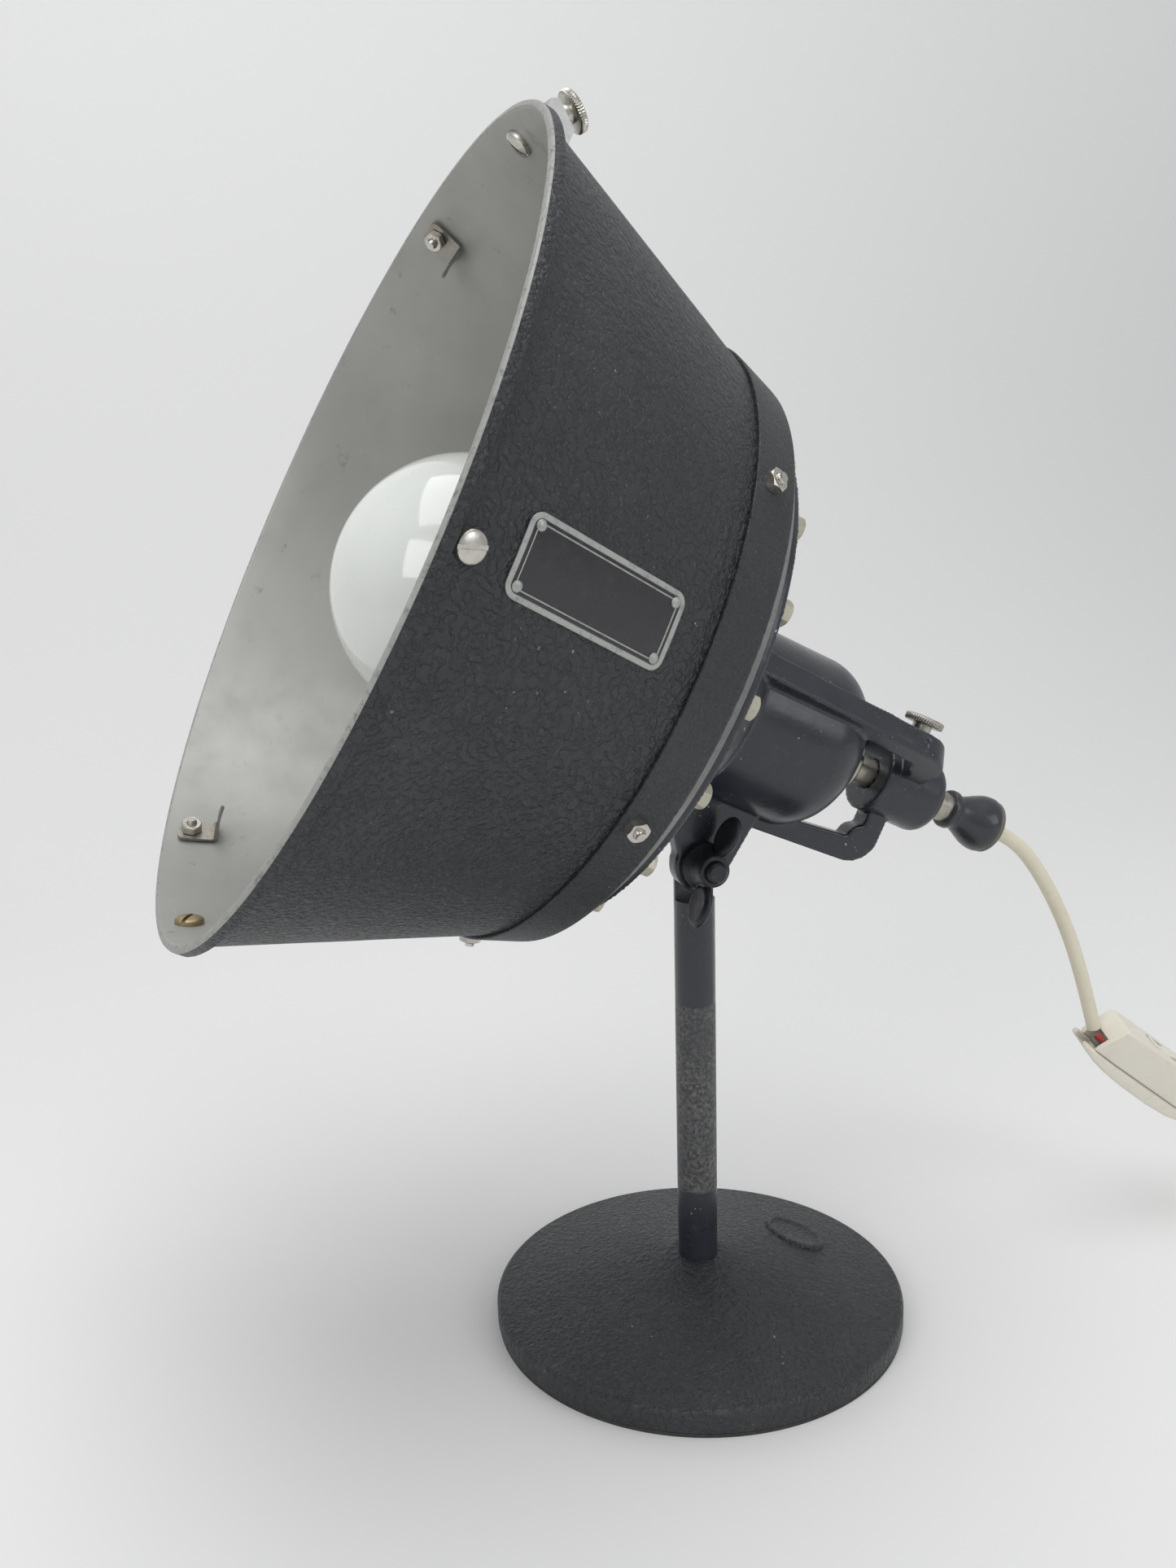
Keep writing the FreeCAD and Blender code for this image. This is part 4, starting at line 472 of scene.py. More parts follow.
def add_lathe(bm, profile, steps=96, closed=True, place=None, knurl=None):
    """Revolve (radius, height[, material]) points about z into the bmesh."""
    place = place or Matrix.Identity(4)
    rings = []
    for k, point in enumerate(profile):
        radius, height = point[:2]
        if radius < 1e-6:
            rings.append([bm.verts.new(place @ Vector((0, 0, height)))])
            continue
        points = circle(radius, height, steps)
        if knurl and k in knurl[0]:
            points[1::2] = circle(radius - knurl[1], height, steps)[1::2]
        rings.append(loop(bm, points, place))
    count = len(rings) if closed else len(rings) - 1
    for k in range(count):
        low, high = rings[k], rings[(k + 1) % len(rings)]
        slot_index = profile[k][2] if len(profile[k]) > 2 else 0
        if len(low) == 1 and len(high) == 1:
            continue
        for i in range(steps):
            j = (i + 1) % steps
            if len(low) == 1:
                face = bm.faces.new((low[0], high[i], high[j]))
            elif len(high) == 1:
                face = bm.faces.new((low[i], low[j], high[0]))
            else:
                face = bm.faces.new((low[i], low[j], high[j], high[i]))
            face.material_index = slot_index


def arc(cx, cy, radius, start, end, count, extra=()):
    """Points of an arc in the profile plane, degrees."""
    points = []
    for k in range(count + 1):
        angle = radians(start + (end - start) * k / count)
        points.append((cx + radius * cos(angle), cy + radius * sin(angle), *extra))
    return points


def lathe(name, profile, place, body, materials, steps=96, closed=True, knurl=None, **options):
    bm = bmesh.new()
    add_lathe(bm, profile, steps, closed, knurl=knurl)
    return build(name, bm, place, body, materials, **options)


def add_prism(bm, outline, low, high, place=None):
    """Extrude a plane outline between two heights into the bmesh."""
    tube(bm, [loop(bm, [(x, y, z) for x, y in outline], place) for z in (low, high)])


def add_hex(bm, across, low, high, bore=0.0, place=None, phase=0.0, chamfer=0.13):
    """A hexagon with its top corners turned off to a cone, and a bore if wanted."""
    steps = 36
    reach = across / sqrt(3)
    flat = across / 2
    edges = [flat / cos(radians((360 * i / steps - phase) % 60 - 30))
             for i in range(steps)]

    def level(radii, heights):
        return loop(bm, [(edge * cos(2 * pi * i / steps),
                          edge * sin(2 * pi * i / steps), height)
                         for i, (edge, height) in enumerate(zip(radii, heights))], place)

    drops = [(edge - flat * 0.97) / (reach - flat * 0.97) * chamfer * across * 0.6
             for edge in edges]
    rows = [level(edges, [low] * steps), level(edges, [high - drop for drop in drops])]
    for radius, height in ([(flat * 0.95, high), (bore + 0.25, high), (bore, high - 0.3),
                            (bore, low)] if bore else [(flat * 0.95, high), (flat * 0.5, high)]):
        rows.append(level([radius] * steps, [height] * steps))
    if bore:
        skin(bm, rows + rows[:1])
    else:
        skin(bm, rows)
        bm.faces.new(rows[-1])
        bm.faces.new(rows[0][::-1])


def add_slotted_head(bm, radius, height, slot, depth, place, turn=0.0, domed=True):
    """A round screw head on z = 0 with a real slot across it."""
    place = place @ Matrix.Rotation(radians(turn), 4, "Z")
    steps = 40
    rows = 9
    half = slot / 2
    rim = height * (0.45 if domed else 0.85)

    def level(x, y):
        distance = min(1.0, hypot(x, y) / radius)
        return rim + (height - rim) * sqrt(max(0.0, 1 - distance * distance))

    for side in (1, -1):
        edge = []
        start = asin(min(1.0, half / radius))
        for i in range(steps // 2 + 1):
            angle = start + (pi - 2 * start) * i / (steps // 2)
            edge.append((radius * cos(angle), radius * sin(angle) * side))
        grid = []
        for r in range(rows + 1):
            share = r / rows
            row = []
            for x, y in edge:
                py = half * side + (y - half * side) * share
                limit = sqrt(max(0.0, radius * radius - py * py))
                px = max(-limit, min(limit, x))
                row.append(bm.verts.new(place @ Vector((px, py, level(px, py)))))
            grid.append(row)
        skin(bm, grid + [loop(bm, [(x, y, 0) for x, y in edge], place)], closed=False)
        bottom = loop(bm, [(x, half * side, height - depth) for x, _ in edge], place)
        skin(bm, [grid[0], bottom], closed=False)
    reach = sqrt(radius * radius - half * half)
    level_z = height - depth
    bm.faces.new(loop(bm, [(x, y, level_z) for x, y in (
        (-reach, -half), (reach, -half), (reach, half), (-reach, half))], place))
    for x in (-reach, reach):
        bm.faces.new(loop(bm, [(x, y, z) for y, z in (
            (-half, 0), (half, 0), (half, level_z), (-half, level_z))], place))


def add_thread(bm, radius, low, high, place=None, pitch=0.8, steps=20):
    """A threaded stud end: rings stepping in and out."""
    profile = [(0, low)]
    turns = max(1, int((high - low) / pitch))
    for k in range(turns):
        profile.append((radius, low + pitch * (k + 0.25)))
        profile.append((radius * 0.88, low + pitch * (k + 0.75)))
    profile.append((radius * 0.85, high))
    profile.append((0, high))
    add_lathe(bm, profile, steps, closed=False, place=place)


def fused(name, mesh, body, materials, voxel, rounds, factor=0.5):
    """Merge a mesh's overlapping closed forms and round its edges like a casting."""
    piece = placed(name, mesh)
    remesh = piece.modifiers.new("skin", "REMESH")
    remesh.mode = "VOXEL"
    remesh.voxel_size = voxel * MM
    relax = piece.modifiers.new("relax", "SMOOTH")
    relax.factor = factor
    relax.iterations = rounds
    skinned = baked(piece)
    bpy.data.objects.remove(piece)
    return finish_mesh(name, skinned, body, materials, smooth=80.0)


def softened(name, node, body, materials, voxel, rounds):
    """A copy of a CAD node with its edges rounded like a casting."""
    mesh = frame["nodes"][node].data.copy()
    mesh.materials.clear()
    piece = fused(name, mesh, body, materials, voxel, rounds)
    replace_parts(piece, node)


def carved(name, mesh, cutters, body, materials, bevel=0.0):
    """A mesh with closed cutters taken out of it; what they cut shows the second material."""
    piece = bpy.data.objects.new(name, mesh)
    mesh.materials.append(materials[0])
    bpy.context.scene.collection.objects.link(piece)
    tools = []
    for cutter in cutters:
        cutter.materials.append(materials[-1])
        tool = placed(name + "_tool", cutter)
        cut = piece.modifiers.new("cut", "BOOLEAN")
        cut.operation = "DIFFERENCE"
        cut.solver = "EXACT"
        cut.material_mode = "TRANSFER"
        cut.object = tool
        tools.append(tool)
    cut_mesh = baked(piece)
    for spare in tools + [piece]:
        bpy.data.objects.remove(spare)
    cut_mesh.materials.clear()
    return finish_mesh(name, cut_mesh, body, materials, smooth=30.0, bevel=bevel)


def dress(material, *nodes):
    """Give carried nodes a material."""
    for node in nodes:
        carried = frame["nodes"][node]
        carried.data.materials.clear()
        carried.data.materials.append(material)

# --- Camera, floor and light ---
AZIMUTH = radians(70.79)
ELEVATION = radians(12.71)
ROLL = radians(-1.53)
BACK = Vector((sin(AZIMUTH) * cos(ELEVATION),
               -cos(AZIMUTH) * cos(ELEVATION), sin(ELEVATION)))
level = (-BACK).cross(Vector((0, 0, 1))).normalized()
above = level.cross(-BACK)
right = level * cos(ROLL) + above * sin(ROLL)
raised = above * cos(ROLL) - level * sin(ROLL)
camera_data = bpy.data.cameras.new("camera")
camera_data.sensor_width = 36
camera_data.lens = 33.569
camera_data.clip_end = 50
camera = placed("camera", camera_data)
camera.matrix_world = Matrix.Translation((0.50042, -0.21678, 0.34655)) @ Matrix(
    (right, raised, BACK)).transposed().to_4x4()
bpy.context.scene.camera = camera


def area_light(name, place, target, width, height, power, tint=(1, 1, 1)):
    data = bpy.data.lights.new(name, "AREA")
    data.shape = "RECTANGLE"
    data.size = width
    data.size_y = height
    data.energy = power
    data.color = tint
    lamp = placed(name, data)
    lamp.location = place
    lamp.rotation_mode = "QUATERNION"
    lamp.rotation_quaternion = (Vector(target) - Vector(place)).to_track_quat("-Z", "Y")


area_light("overhead", (0.15, -0.1, 1.9), (0, 0, 0.2), 1.6, 1.6, 17.0)
area_light("window", (0.9, -1.35, 1.15), (0, -0.1, 0.25), 0.9, 0.9, 7.0, (1.0, 0.99, 0.97))
area_light("fill", (1.3, 0.9, 0.8), (0, 0.05, 0.2), 0.8, 0.8, 4.0, (0.97, 0.98, 1.0))

world = bpy.data.worlds.new("studio")
bpy.context.scene.world = world
world.use_nodes = True
tree = world.node_tree
background = tree.nodes["Background"]
background.inputs["Color"].default_value = (0.80, 0.81, 0.82, 1)
background.inputs["Strength"].default_value = 0.62
pale = tree.nodes.new("ShaderNodeBackground")
pale.inputs["Color"].default_value = (0.76, 0.765, 0.77, 1)
pale.inputs["Strength"].default_value = 1.0
chooser = tree.nodes.new("ShaderNodeMixShader")
rays = tree.nodes.new("ShaderNodeLightPath")
tree.links.new(rays.outputs["Is Camera Ray"], chooser.inputs[0])
tree.links.new(background.outputs[0], chooser.inputs[1])
tree.links.new(pale.outputs[0], chooser.inputs[2])
tree.links.new(chooser.outputs[0], tree.nodes["World Output"].inputs["Surface"])
bpy.context.scene.view_settings.view_transform = "Standard"

floor_material = Shader("floor", rough=0.9, specular=0.1)
_, _, floor_height = floor_material.parts(floor_material.place)
floor_tone = floor_material.mix(floor_material.noise(500.0, 2.0, 0.5), (0.79, 0.79, 0.785),
                                (0.81, 0.81, 0.805))
# Painted light: the backdrop is painted paler as it rises, near white from about 1.3 m up.
floor_material.color(floor_material.mix(floor_material.ramp(floor_height, 0.1, 1.3), floor_tone,
                                        (0.97, 0.97, 0.965)))
bm = bmesh.new()
sweep = [(3.0, 0.0), (-0.6, 0.0)]
sweep += [(-0.6 - 1.2 * sin(radians(a)), 1.2 - 1.2 * cos(radians(a)))
          for a in range(6, 91, 6)] + [(-1.8, 3.2)]
rows = [[bm.verts.new((x, side, z)) for side in (-3.5, 3.5)] for x, z in sweep]
for low_row, high_row in zip(rows, rows[1:]):
    bm.faces.new((low_row[0], low_row[1], high_row[1], high_row[0]))
mesh = bpy.data.meshes.new("backdrop")
bm.to_mesh(mesh)
bm.free()
for face in mesh.polygons:
    face.use_smooth = True
mesh.materials.append(floor_material.material)
backdrop = placed("backdrop", mesh)

# --- Cords ---
CORD_RADIUS = 3.1 * MM
cord_exit = Vector((0, 0.13282, 0.19110))
SWITCH_START = Vector((0, 190.5, 96.0)) * MM
SWITCH_ALONG = Vector((0, 0.77, -0.64)).normalized()
SWITCH_UP = Vector((0, 0.64, 0.77)).normalized()
SWITCH = Matrix.Translation(SWITCH_START) @ Matrix(
    (SWITCH_ALONG, Vector((-1, 0, 0)), SWITCH_UP)).transposed().to_4x4()
SWITCH_END = SWITCH_START + SWITCH_ALONG * 75 * MM
LEAD_ROUTE = [cord_exit, cord_exit - LIGHT * 11.5 * MM, Vector((0, 154.5, 175.6)) * MM,
              Vector((0, 161.85, 164.3)) * MM]
DROP_ROUTE = [Vector((0, 161.85, 164.3)) * MM, Vector((0, 169.2, 153.0)) * MM,
              Vector((0, 182.5, 123.9)) * MM, Vector((0, 191.7, 93.0)) * MM]


def cord_line(name, points):
    """The NURBS curve through a route's control points, in metres."""
    curve = bpy.data.curves.new(name, "CURVE")
    curve.dimensions = "3D"
    spline = curve.splines.new("NURBS")
    spline.points.add(len(points) - 1)
    for point, place in zip(spline.points, points):
        point.co = (*place, 1.0)
    spline.order_u = 3
    spline.use_endpoint_u = True
    spline.resolution_u = 12
    piece = placed(name, curve)
    return piece


def line_points(piece):
    """Points along a curve that has no bevel, and its length."""
    mesh = baked(piece)
    points = [vertex.co.copy() for vertex in mesh.vertices]
    bpy.data.meshes.remove(mesh)
    return points, sum((b - a).length for a, b in zip(points, points[1:]))


def cord_tube(name, route, node):
    """A cord as a mesh tube along its route's spline."""
    guide = cord_line(name + "_line", route)
    points, long = line_points(guide)
    guide.data.bevel_depth = CORD_RADIUS
    guide.data.bevel_resolution = 6
    guide.data.use_fill_caps = True
    mesh = baked(guide)
    bpy.data.objects.remove(guide)
    mesh.materials.clear()
    piece = finish_mesh(name, mesh, None, [CORD], smooth=60)
    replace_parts(piece, node)
    print("cord", name, "length", round(long, 4))
    return piece


lead = cord_tube("cord_lead_tube", LEAD_ROUTE, "cord_lead")
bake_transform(lead)
drop = cord_tube("cord_drop_tube", DROP_ROUTE, "cord_drop")
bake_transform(drop)

COIL = Vector((40.3, 348.0, 0.0)) * MM
COIL_RADIUS = 37.0
COLUMN = 6.35
TURN_POINTS = 14
COIL_TURNS = 5.22


def step_between(low, high, start, end, value):
    share = min(1.0, max(0.0, (value - start) / (end - start)))
    return low + (high - low) * share * share * (3 - 2 * share)


def coil_point(turn):
    """A point of the coil: three turns inward on the floor, the rest outward on top."""
    whole, part = divmod(turn, 1.0)
    if whole < 3:
        column = 1 - whole
        radius = COIL_RADIUS + COLUMN * (column + (step_between(1, 0, 0, 0.16, part)
                                                   if whole else 0))
        rise = step_between(0, 1, 0.84, 1.0, part) if whole == 2 else 0
    else:
        radius = COIL_RADIUS + COLUMN * (whole - 4 + step_between(0, 1, 0.62, 0.78, part))
        rise = 1
    angle = pi - 2 * pi * turn
    return COIL + Vector((radius * cos(angle), radius * sin(angle),
                          3.12 + 6.25 * rise)) * MM


FLOOR_ROUTE = [SWITCH_END - SWITCH_ALONG * 3 * MM, SWITCH_END + SWITCH_ALONG * 14 * MM]
FLOOR_ROUTE += [Vector(point) * MM for point in (
    (1, 279.2, 18.1), (2, 295.2, 4.3), (0, 314.2, 3.12), (-3, 332.2, 3.12))]
FLOOR_ROUTE += [coil_point(k / TURN_POINTS) for k in range(int(COIL_TURNS * TURN_POINTS) + 1)]
FLOOR_ROUTE += [COIL + Vector(point) * MM for point in (
    (17, 46.8, 7.8), (40, 42, 3.3), (57, 27, 3.3), (64, 7, 5.5), (65.2, -13, 7.5))]
floor_cord = cord_line("cord_floor_run", FLOOR_ROUTE)
floor_points, floor_length = line_points(floor_cord)
floor_cord.data.bevel_depth = CORD_RADIUS
floor_cord.data.bevel_resolution = 5
floor_cord.data.use_fill_caps = True
floor_cord.data.materials.append(CORD)
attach(floor_cord, "stand")
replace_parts(floor_cord, "cord_floor", "cord_coil", "cord_tail")
print("cord floor length", round(floor_length, 4))

# --- Shade and dish ---
DISH_MOUTH, MOUTH_FACE = 114.4, 82.5
DISH_CORNER, CORNER_FACE = 109.5, 65.4
SHADE_FACE = 173.0
SEAM_FACE = 76.0
FLANGE_FACE = 58.5
DISH_SLOPE = (DISH_MOUTH - DISH_CORNER) / (MOUTH_FACE - CORNER_FACE)
DISH_WALL = 1.5 * hypot(1, DISH_SLOPE)
SKIRT = DISH_MOUTH - DISH_WALL - 0.02
CONE_FRONT = 146.1
CONE_SLOPE = (CONE_FRONT - SKIRT) / (SHADE_FACE - MOUTH_FACE)
SHEET = 1.3
SHADE_SHEET = SHEET * cos(atan(CONE_SLOPE))


def cone_radius(face):
    return SKIRT + CONE_SLOPE * (face - MOUTH_FACE)


def dish_radius(face):
    return DISH_MOUTH - DISH_SLOPE * (MOUTH_FACE - face)


OUT, IN, EDGE = 0, 1, 2
shade_profile = [(dish_radius(71.5) - DISH_WALL - 0.05, 71.5, OUT)]
shade_profile += [(cone_radius(MOUTH_FACE + 90.5 * k / 24), MOUTH_FACE + 90.5 * k / 24, OUT)
                  for k in range(24)]
shade_profile += [(CONE_FRONT, 172.6, OUT), (CONE_FRONT + 0.6, SHADE_FACE, OUT),
                  (148.6, SHADE_FACE, OUT), (149.2, 173.3, OUT), (149.5, 173.9, OUT),
                  (149.5, 177.0, EDGE), (149.2, 177.7, EDGE), (148.6, 178.0, EDGE),
                  (147.3, 178.0, EDGE), (146.9, 177.7, IN), (146.6, 177.0, IN)]
shade_profile += [(cone_radius(MOUTH_FACE + 90.5 * k / 24) - SHEET, MOUTH_FACE + 90.5 * k / 24, IN)
                  for k in range(24, -1, -1)]
shade_profile += [(dish_radius(71.5) - DISH_WALL - SHEET, 71.5, IN)]


def dented(piece, amount, reach=45.0):
    """Faint dents and waviness of old sheet metal."""
    mesh = piece.data
    for vertex in mesh.vertices:
        swell = noise.noise(vertex.co * (1000 / reach)) + 0.5 * noise.noise(
            vertex.co * (2600 / reach))
        away = vertex.co - ORIGIN
        away -= LIGHT * away.dot(LIGHT)
        if away.length > 1e-6:
            vertex.co += away.normalized() * (swell * amount * MM)


shade = lathe("shade", shade_profile, HEAD, None, [CRACKLE_SHADE, INSIDE, LIP], steps=256)
dented(shade, 0.22)
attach(shade, "head")
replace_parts(shade, "shade_cone")

dish_profile = [(57.0, FLANGE_FACE, OUT), (75, FLANGE_FACE, OUT),
                (98.0, FLANGE_FACE, OUT), (100.0, 58.55, OUT),
                (101.2, 59.1, OUT)]
dish_profile += [(100.5 + 9 * k / 5, FLANGE_FACE + 6.9 * k / 5, OUT) for k in range(1, 5)]
dish_profile += [(108.9, 64.85, OUT), (109.4, CORNER_FACE, OUT), (109.65, 66.1, OUT)]
dish_profile += [(dish_radius(66.9 + 15.6 * k / 6), 66.9 + 15.6 * k / 6, OUT) for k in range(6)]
dish_profile += [(114.25, 82.2, OUT), (113.9, MOUTH_FACE, OUT),
                 (DISH_MOUTH - DISH_WALL, MOUTH_FACE, IN),
                 (DISH_CORNER - DISH_WALL, 66.0, IN), (99.0, 60.0, IN), (57.0, 60.0, IN)]
dish = lathe("dish", dish_profile, HEAD, None, [CRACKLE_DISH, INSIDE], steps=256)
dented(dish, 0.15)
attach(dish, "head")
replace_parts(dish, "rear_dish")

# --- Lamp house, bush, tube and gland ---
VOXEL = 0.8
softened("lamp_house_casting", "lamp_house", "head", [HOUSE], VOXEL, 5)
dress(NICKEL, "tube_bush", "focus_tube", "clip_spacers", "holder_screws")
dress(BLACKED, "hinge_stud", "hinge_washer")
dress(STEEL, "post_nut", "post_washer", "switch_screws", "socket_carrier")
dress(BRASS, "holder_shell", "centre_contact", "bulb_cap", "bulb_contact", "plug_pins",
      "switch_contacts")
dress(ALUMINIUM, "clamp_block")
dress(PORCELAIN, "holder_body")
dress(FELT, "foot_ring")
dress(CORD, "tube_lead")
dress(OPAL, "filament_mount")

gland_profile = [(6.02, -96.0), (7.3, -96.0), (7.8, -96.4), (8.0, -97.2), (8.0, -98.6),
                 (7.6, -99.2), (7.1, -99.6), (7.0, -100.6), (7.2, -102.0), (7.7, -103.6),
                 (8.5, -105.6), (9.6, -108.0), (10.7, -110.6), (11.35, -112.8), (11.6, -114.6),
                 (11.6, -116.2), (11.3, -116.8), (10.8, -117.0), (3.4, -117.0), (3.4, -108.0),
                 (6.02, -108.0)]
gland = lathe("gland_moulding", gland_profile, HEAD, "focus", [MOULDED], steps=128)
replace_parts(gland, "cord_gland")
ring_profile = [(3.12, -117.0), (10.4, -117.0), (10.9, -117.3), (11.1, -118.0), (11.0, -118.9),
                (10.4, -119.5), (8.4, -119.5), (7.9, -119.1), (5.2, -119.1), (4.6, -119.5),
                (3.12, -119.5)]
gland_end = lathe("gland_end_ring", ring_profile, HEAD, "focus", [RUBBER], steps=128)
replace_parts(gland_end, "gland_ring")

# --- Fasteners ---
BOLT_CIRCLE = 92.0
BOLT_COUNT = 18
bm = bmesh.new()
heads = bmesh.new()
for k in range(BOLT_COUNT):
    angle = 360.0 / BOLT_COUNT * k
    spot = Matrix.Rotation(radians(angle), 4, "Z") @ Matrix.Translation((BOLT_CIRCLE, 0, 0))
    flip = spot @ Matrix.Translation((0, 0, 54.5)) @ Matrix.Rotation(pi, 4, "X")
    add_hex(heads, 8.0, 0.0, 4.0, place=flip, phase=(k * 47) % 60)
    add_hex(bm, 8.0, 0.0, 4.0, bore=2.3, phase=(k * 31) % 60,
            place=spot @ Matrix.Translation((0, 0, 60.0)))
    add_thread(bm, 2.3, FLANGE_FACE, 65.5, place=spot)
bolts = build("flange_bolt_heads", heads, HEAD, "head", [CREAM_METAL], smooth=25)
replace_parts(bolts, "flange_bolts")
nuts = build("flange_nut_set", bm, HEAD, "head", [NICKEL], smooth=25)
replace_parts(nuts, "flange_nuts")

SEAM_ANGLES = [35 + 60 * k for k in range(6)]


def seat_sag(disc, wall_radius, slope):
    """How far a flat disc stands off the hollow side of a round wall."""
    bow = wall_radius / cos(atan(slope))
    return bow - sqrt(bow * bow - disc * disc) + 0.005


DISH_TILT = atan(DISH_SLOPE)
SEAM_DEPTH = 1.5 + 0.02 * cos(DISH_TILT) + SHEET * cos(DISH_TILT)
SEAM_DEPTH += seat_sag(4.0, dish_radius(SEAM_FACE) - DISH_WALL - SHEET, DISH_SLOPE)
bm = bmesh.new()
heads = bmesh.new()
into_head = HEAD.inverted()


def local(place):
    """A place in the head's frame, in millimetres."""
    matrix = into_head @ place
    matrix.translation = matrix.translation / MM
    return matrix


def facing_in(outside, depth):
    """The place depth below another, turned to face inward."""
    return outside @ Matrix.Translation((0, 0, -depth)) @ Matrix.Rotation(pi, 4, "X")


for k, angle in enumerate(SEAM_ANGLES):
    outside = local(on_wall(angle, dish_radius(SEAM_FACE), SEAM_FACE, DISH_SLOPE))
    add_hex(bm, 7.0, 0.0, 3.2, bore=1.85, place=outside, phase=17 * k)
    add_thread(bm, 1.85, -0.5, 4.8, place=outside)
    inner = facing_in(outside, SEAM_DEPTH)
    add_slotted_head(heads, 4.0, 2.4, 1.0, 1.0, inner, turn=37 * k)
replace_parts(build("seam_nut_set", bm, HEAD, "head", [BRIGHT], smooth=25), "seam_nuts")
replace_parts(build("seam_screw_heads", heads, HEAD, "head", [NICKEL], smooth=40), "seam_screws")

CLIP_ANGLES = (2, 122, 242)
CLIP_FACE = 168.4
CLIP_LEVEL = SHADE_SHEET + seat_sag(4.5, cone_radius(CLIP_FACE) - SHEET, CONE_SLOPE) + 0.6 + 0.1
bm = bmesh.new()
heads = bmesh.new()
for k, angle in enumerate(CLIP_ANGLES):
    outside = local(on_wall(angle, cone_radius(CLIP_FACE), CLIP_FACE, CONE_SLOPE))
    add_slotted_head(heads, 4.7, 2.6, 1.2, 1.1, outside, turn=(20, 75, 130)[k])
    stack = CLIP_LEVEL + 1.4 + 0.1
    inner = facing_in(outside, stack)
    add_hex(bm, 7.0, 0.0, 3.0, bore=1.75, place=inner, phase=23 * k)
    add_thread(bm, 1.75, -1.0, 5.0, place=inner)
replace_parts(build("clip_screw_heads", heads, HEAD, "head", [BRIGHT], smooth=40), "clip_screws")
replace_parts(build("clip_nut_set", bm, HEAD, "head", [BRIGHT], smooth=25), "clip_nuts")

top_heads = bmesh.new()
low_heads = bmesh.new()
bm = bmesh.new()
for angle, heads in ((90, top_heads), (270, low_heads)):
    outside = local(on_wall(angle, cone_radius(CLIP_FACE), CLIP_FACE, CONE_SLOPE))
    depth = SHADE_SHEET + seat_sag(5.0, cone_radius(CLIP_FACE) - SHEET, CONE_SLOPE)
    inner = facing_in(outside, depth)
    add_slotted_head(heads, 5.0, 2.6, 1.4, 1.2, inner, turn=25 if angle == 90 else 60)
    if angle == 270:
        add_hex(bm, 8.0, 0.0, 3.4, bore=2.0, place=outside)
        add_thread(bm, 2.0, -1.0, 5.4, place=outside)
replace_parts(build("rim_screw_top", top_heads, HEAD, "head", [BRIGHT], smooth=40), "rim_screws")
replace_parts(build("rim_screw_low", low_heads, HEAD, "head", [BRASS], smooth=40), "rim_screws")
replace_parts(build("rim_nut_low", bm, HEAD, "head", [NICKEL], smooth=25), "rim_nut")

# --- Knurled screws ---


def knurled_screw(name, node, body, axis_start, axis, shank, neck, knob, material):
    """shank, neck and knob are (radius, low, high) along the axis."""
    place = Matrix.Translation(axis_start) @ axis.to_track_quat("Z", "X").to_matrix().to_4x4()
    profile = [(0, shank[1]), (shank[0] - 0.3, shank[1]), (shank[0], shank[1] + 0.4)]
    for k in range(int((shank[2] - shank[1] - 0.8) / 0.8)):
        profile += [(shank[0], shank[1] + 0.6 + 0.8 * k), (shank[0] - 0.25, shank[1] + 1 + 0.8 * k)]
    profile += [(shank[0], shank[2]), (neck[0] - 0.3, neck[1]), (neck[0], neck[1] + 0.3),
                (neck[0], neck[2])]
    first = len(profile)
    radius, low, high = knob
    profile += [(radius - 1.0, low), (radius - 0.5, low + 0.1), (radius, low + 0.5),
                (radius, high - 0.5), (radius - 0.5, high - 0.1), (radius - 1.2, high),
                (radius - 1.6, high - 0.25), (0, high - 0.25)]
    screw = lathe(name, profile, place, body, [material], steps=96, closed=False,
                  knurl=((first + 1, first + 2, first + 3, first + 4), 0.38), smooth=50)
    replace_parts(screw, node)


knurled_screw("lock_knob", "lock_screw", "lock", ORIGIN - LIGHT * 70 * MM,
              Vector(JOINTS["lock_turn"]["axis"]), (2.5, 6.4, 19.0), (4.0, 19.0, 26.6),
              (8.0, 26.6, 29.6), NICKEL)
knurled_screw("thumb_knob", "rim_thumbscrew", "thumb", Vector(JOINTS["thumb_turn"]["pos_m"]),
              Vector(JOINTS["thumb_turn"]["axis"]), (2.5, -4.0, 0.1), (3.5, 0.1, 3.4),
              (7.6, 3.4, 6.4), BRIGHT)

HINGE = Matrix.Translation(JOINT) @ Matrix((Vector((0, 0, -1)), Vector((0, 1, 0)),
                                            Vector((1, 0, 0)))).transposed().to_4x4()
EAR_TURN = 24.0
bm = bmesh.new()
add_lathe(bm, [(4.06, 9.9), (8.6, 9.9), (9.1, 10.4), (9.1, 11.0), (8.3, 11.8), (7.3, 13.4),
               (6.7, 15.6), (6.4, 18.6), (6.0, 19.8), (5.2, 20.1), (4.06, 20.1)], steps=64)
for side in (0, 180):
    lean = Matrix.Rotation(radians(side + 180 - EAR_TURN), 4, "Z")
    lean = lean @ Matrix.Translation((13.8, 0, 18.6)) @ Matrix.Rotation(radians(-32), 4, "Y")
    ear = bmesh.ops.create_uvsphere(bm, u_segments=40, v_segments=24, radius=1.0)["verts"]
    for vertex in ear:
        x, y, z = vertex.co
        span = min(1.0, hypot(x, z))
        hollow = 0.55 * (1 - span * span)
        thick = copysign(min(abs(y) * 3.2, 2.0) - hollow * (abs(y) > 0.1), y)
        vertex.co = lean @ Vector((x * 8.6, thick, z * 7.4))
mesh = bare_mesh("wing_nut_mesh", bm, HINGE)
wing = fused("wing_nut_cast", mesh, "wing", [BLACKED], 0.4, 3)
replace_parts(wing, "wing_nut")

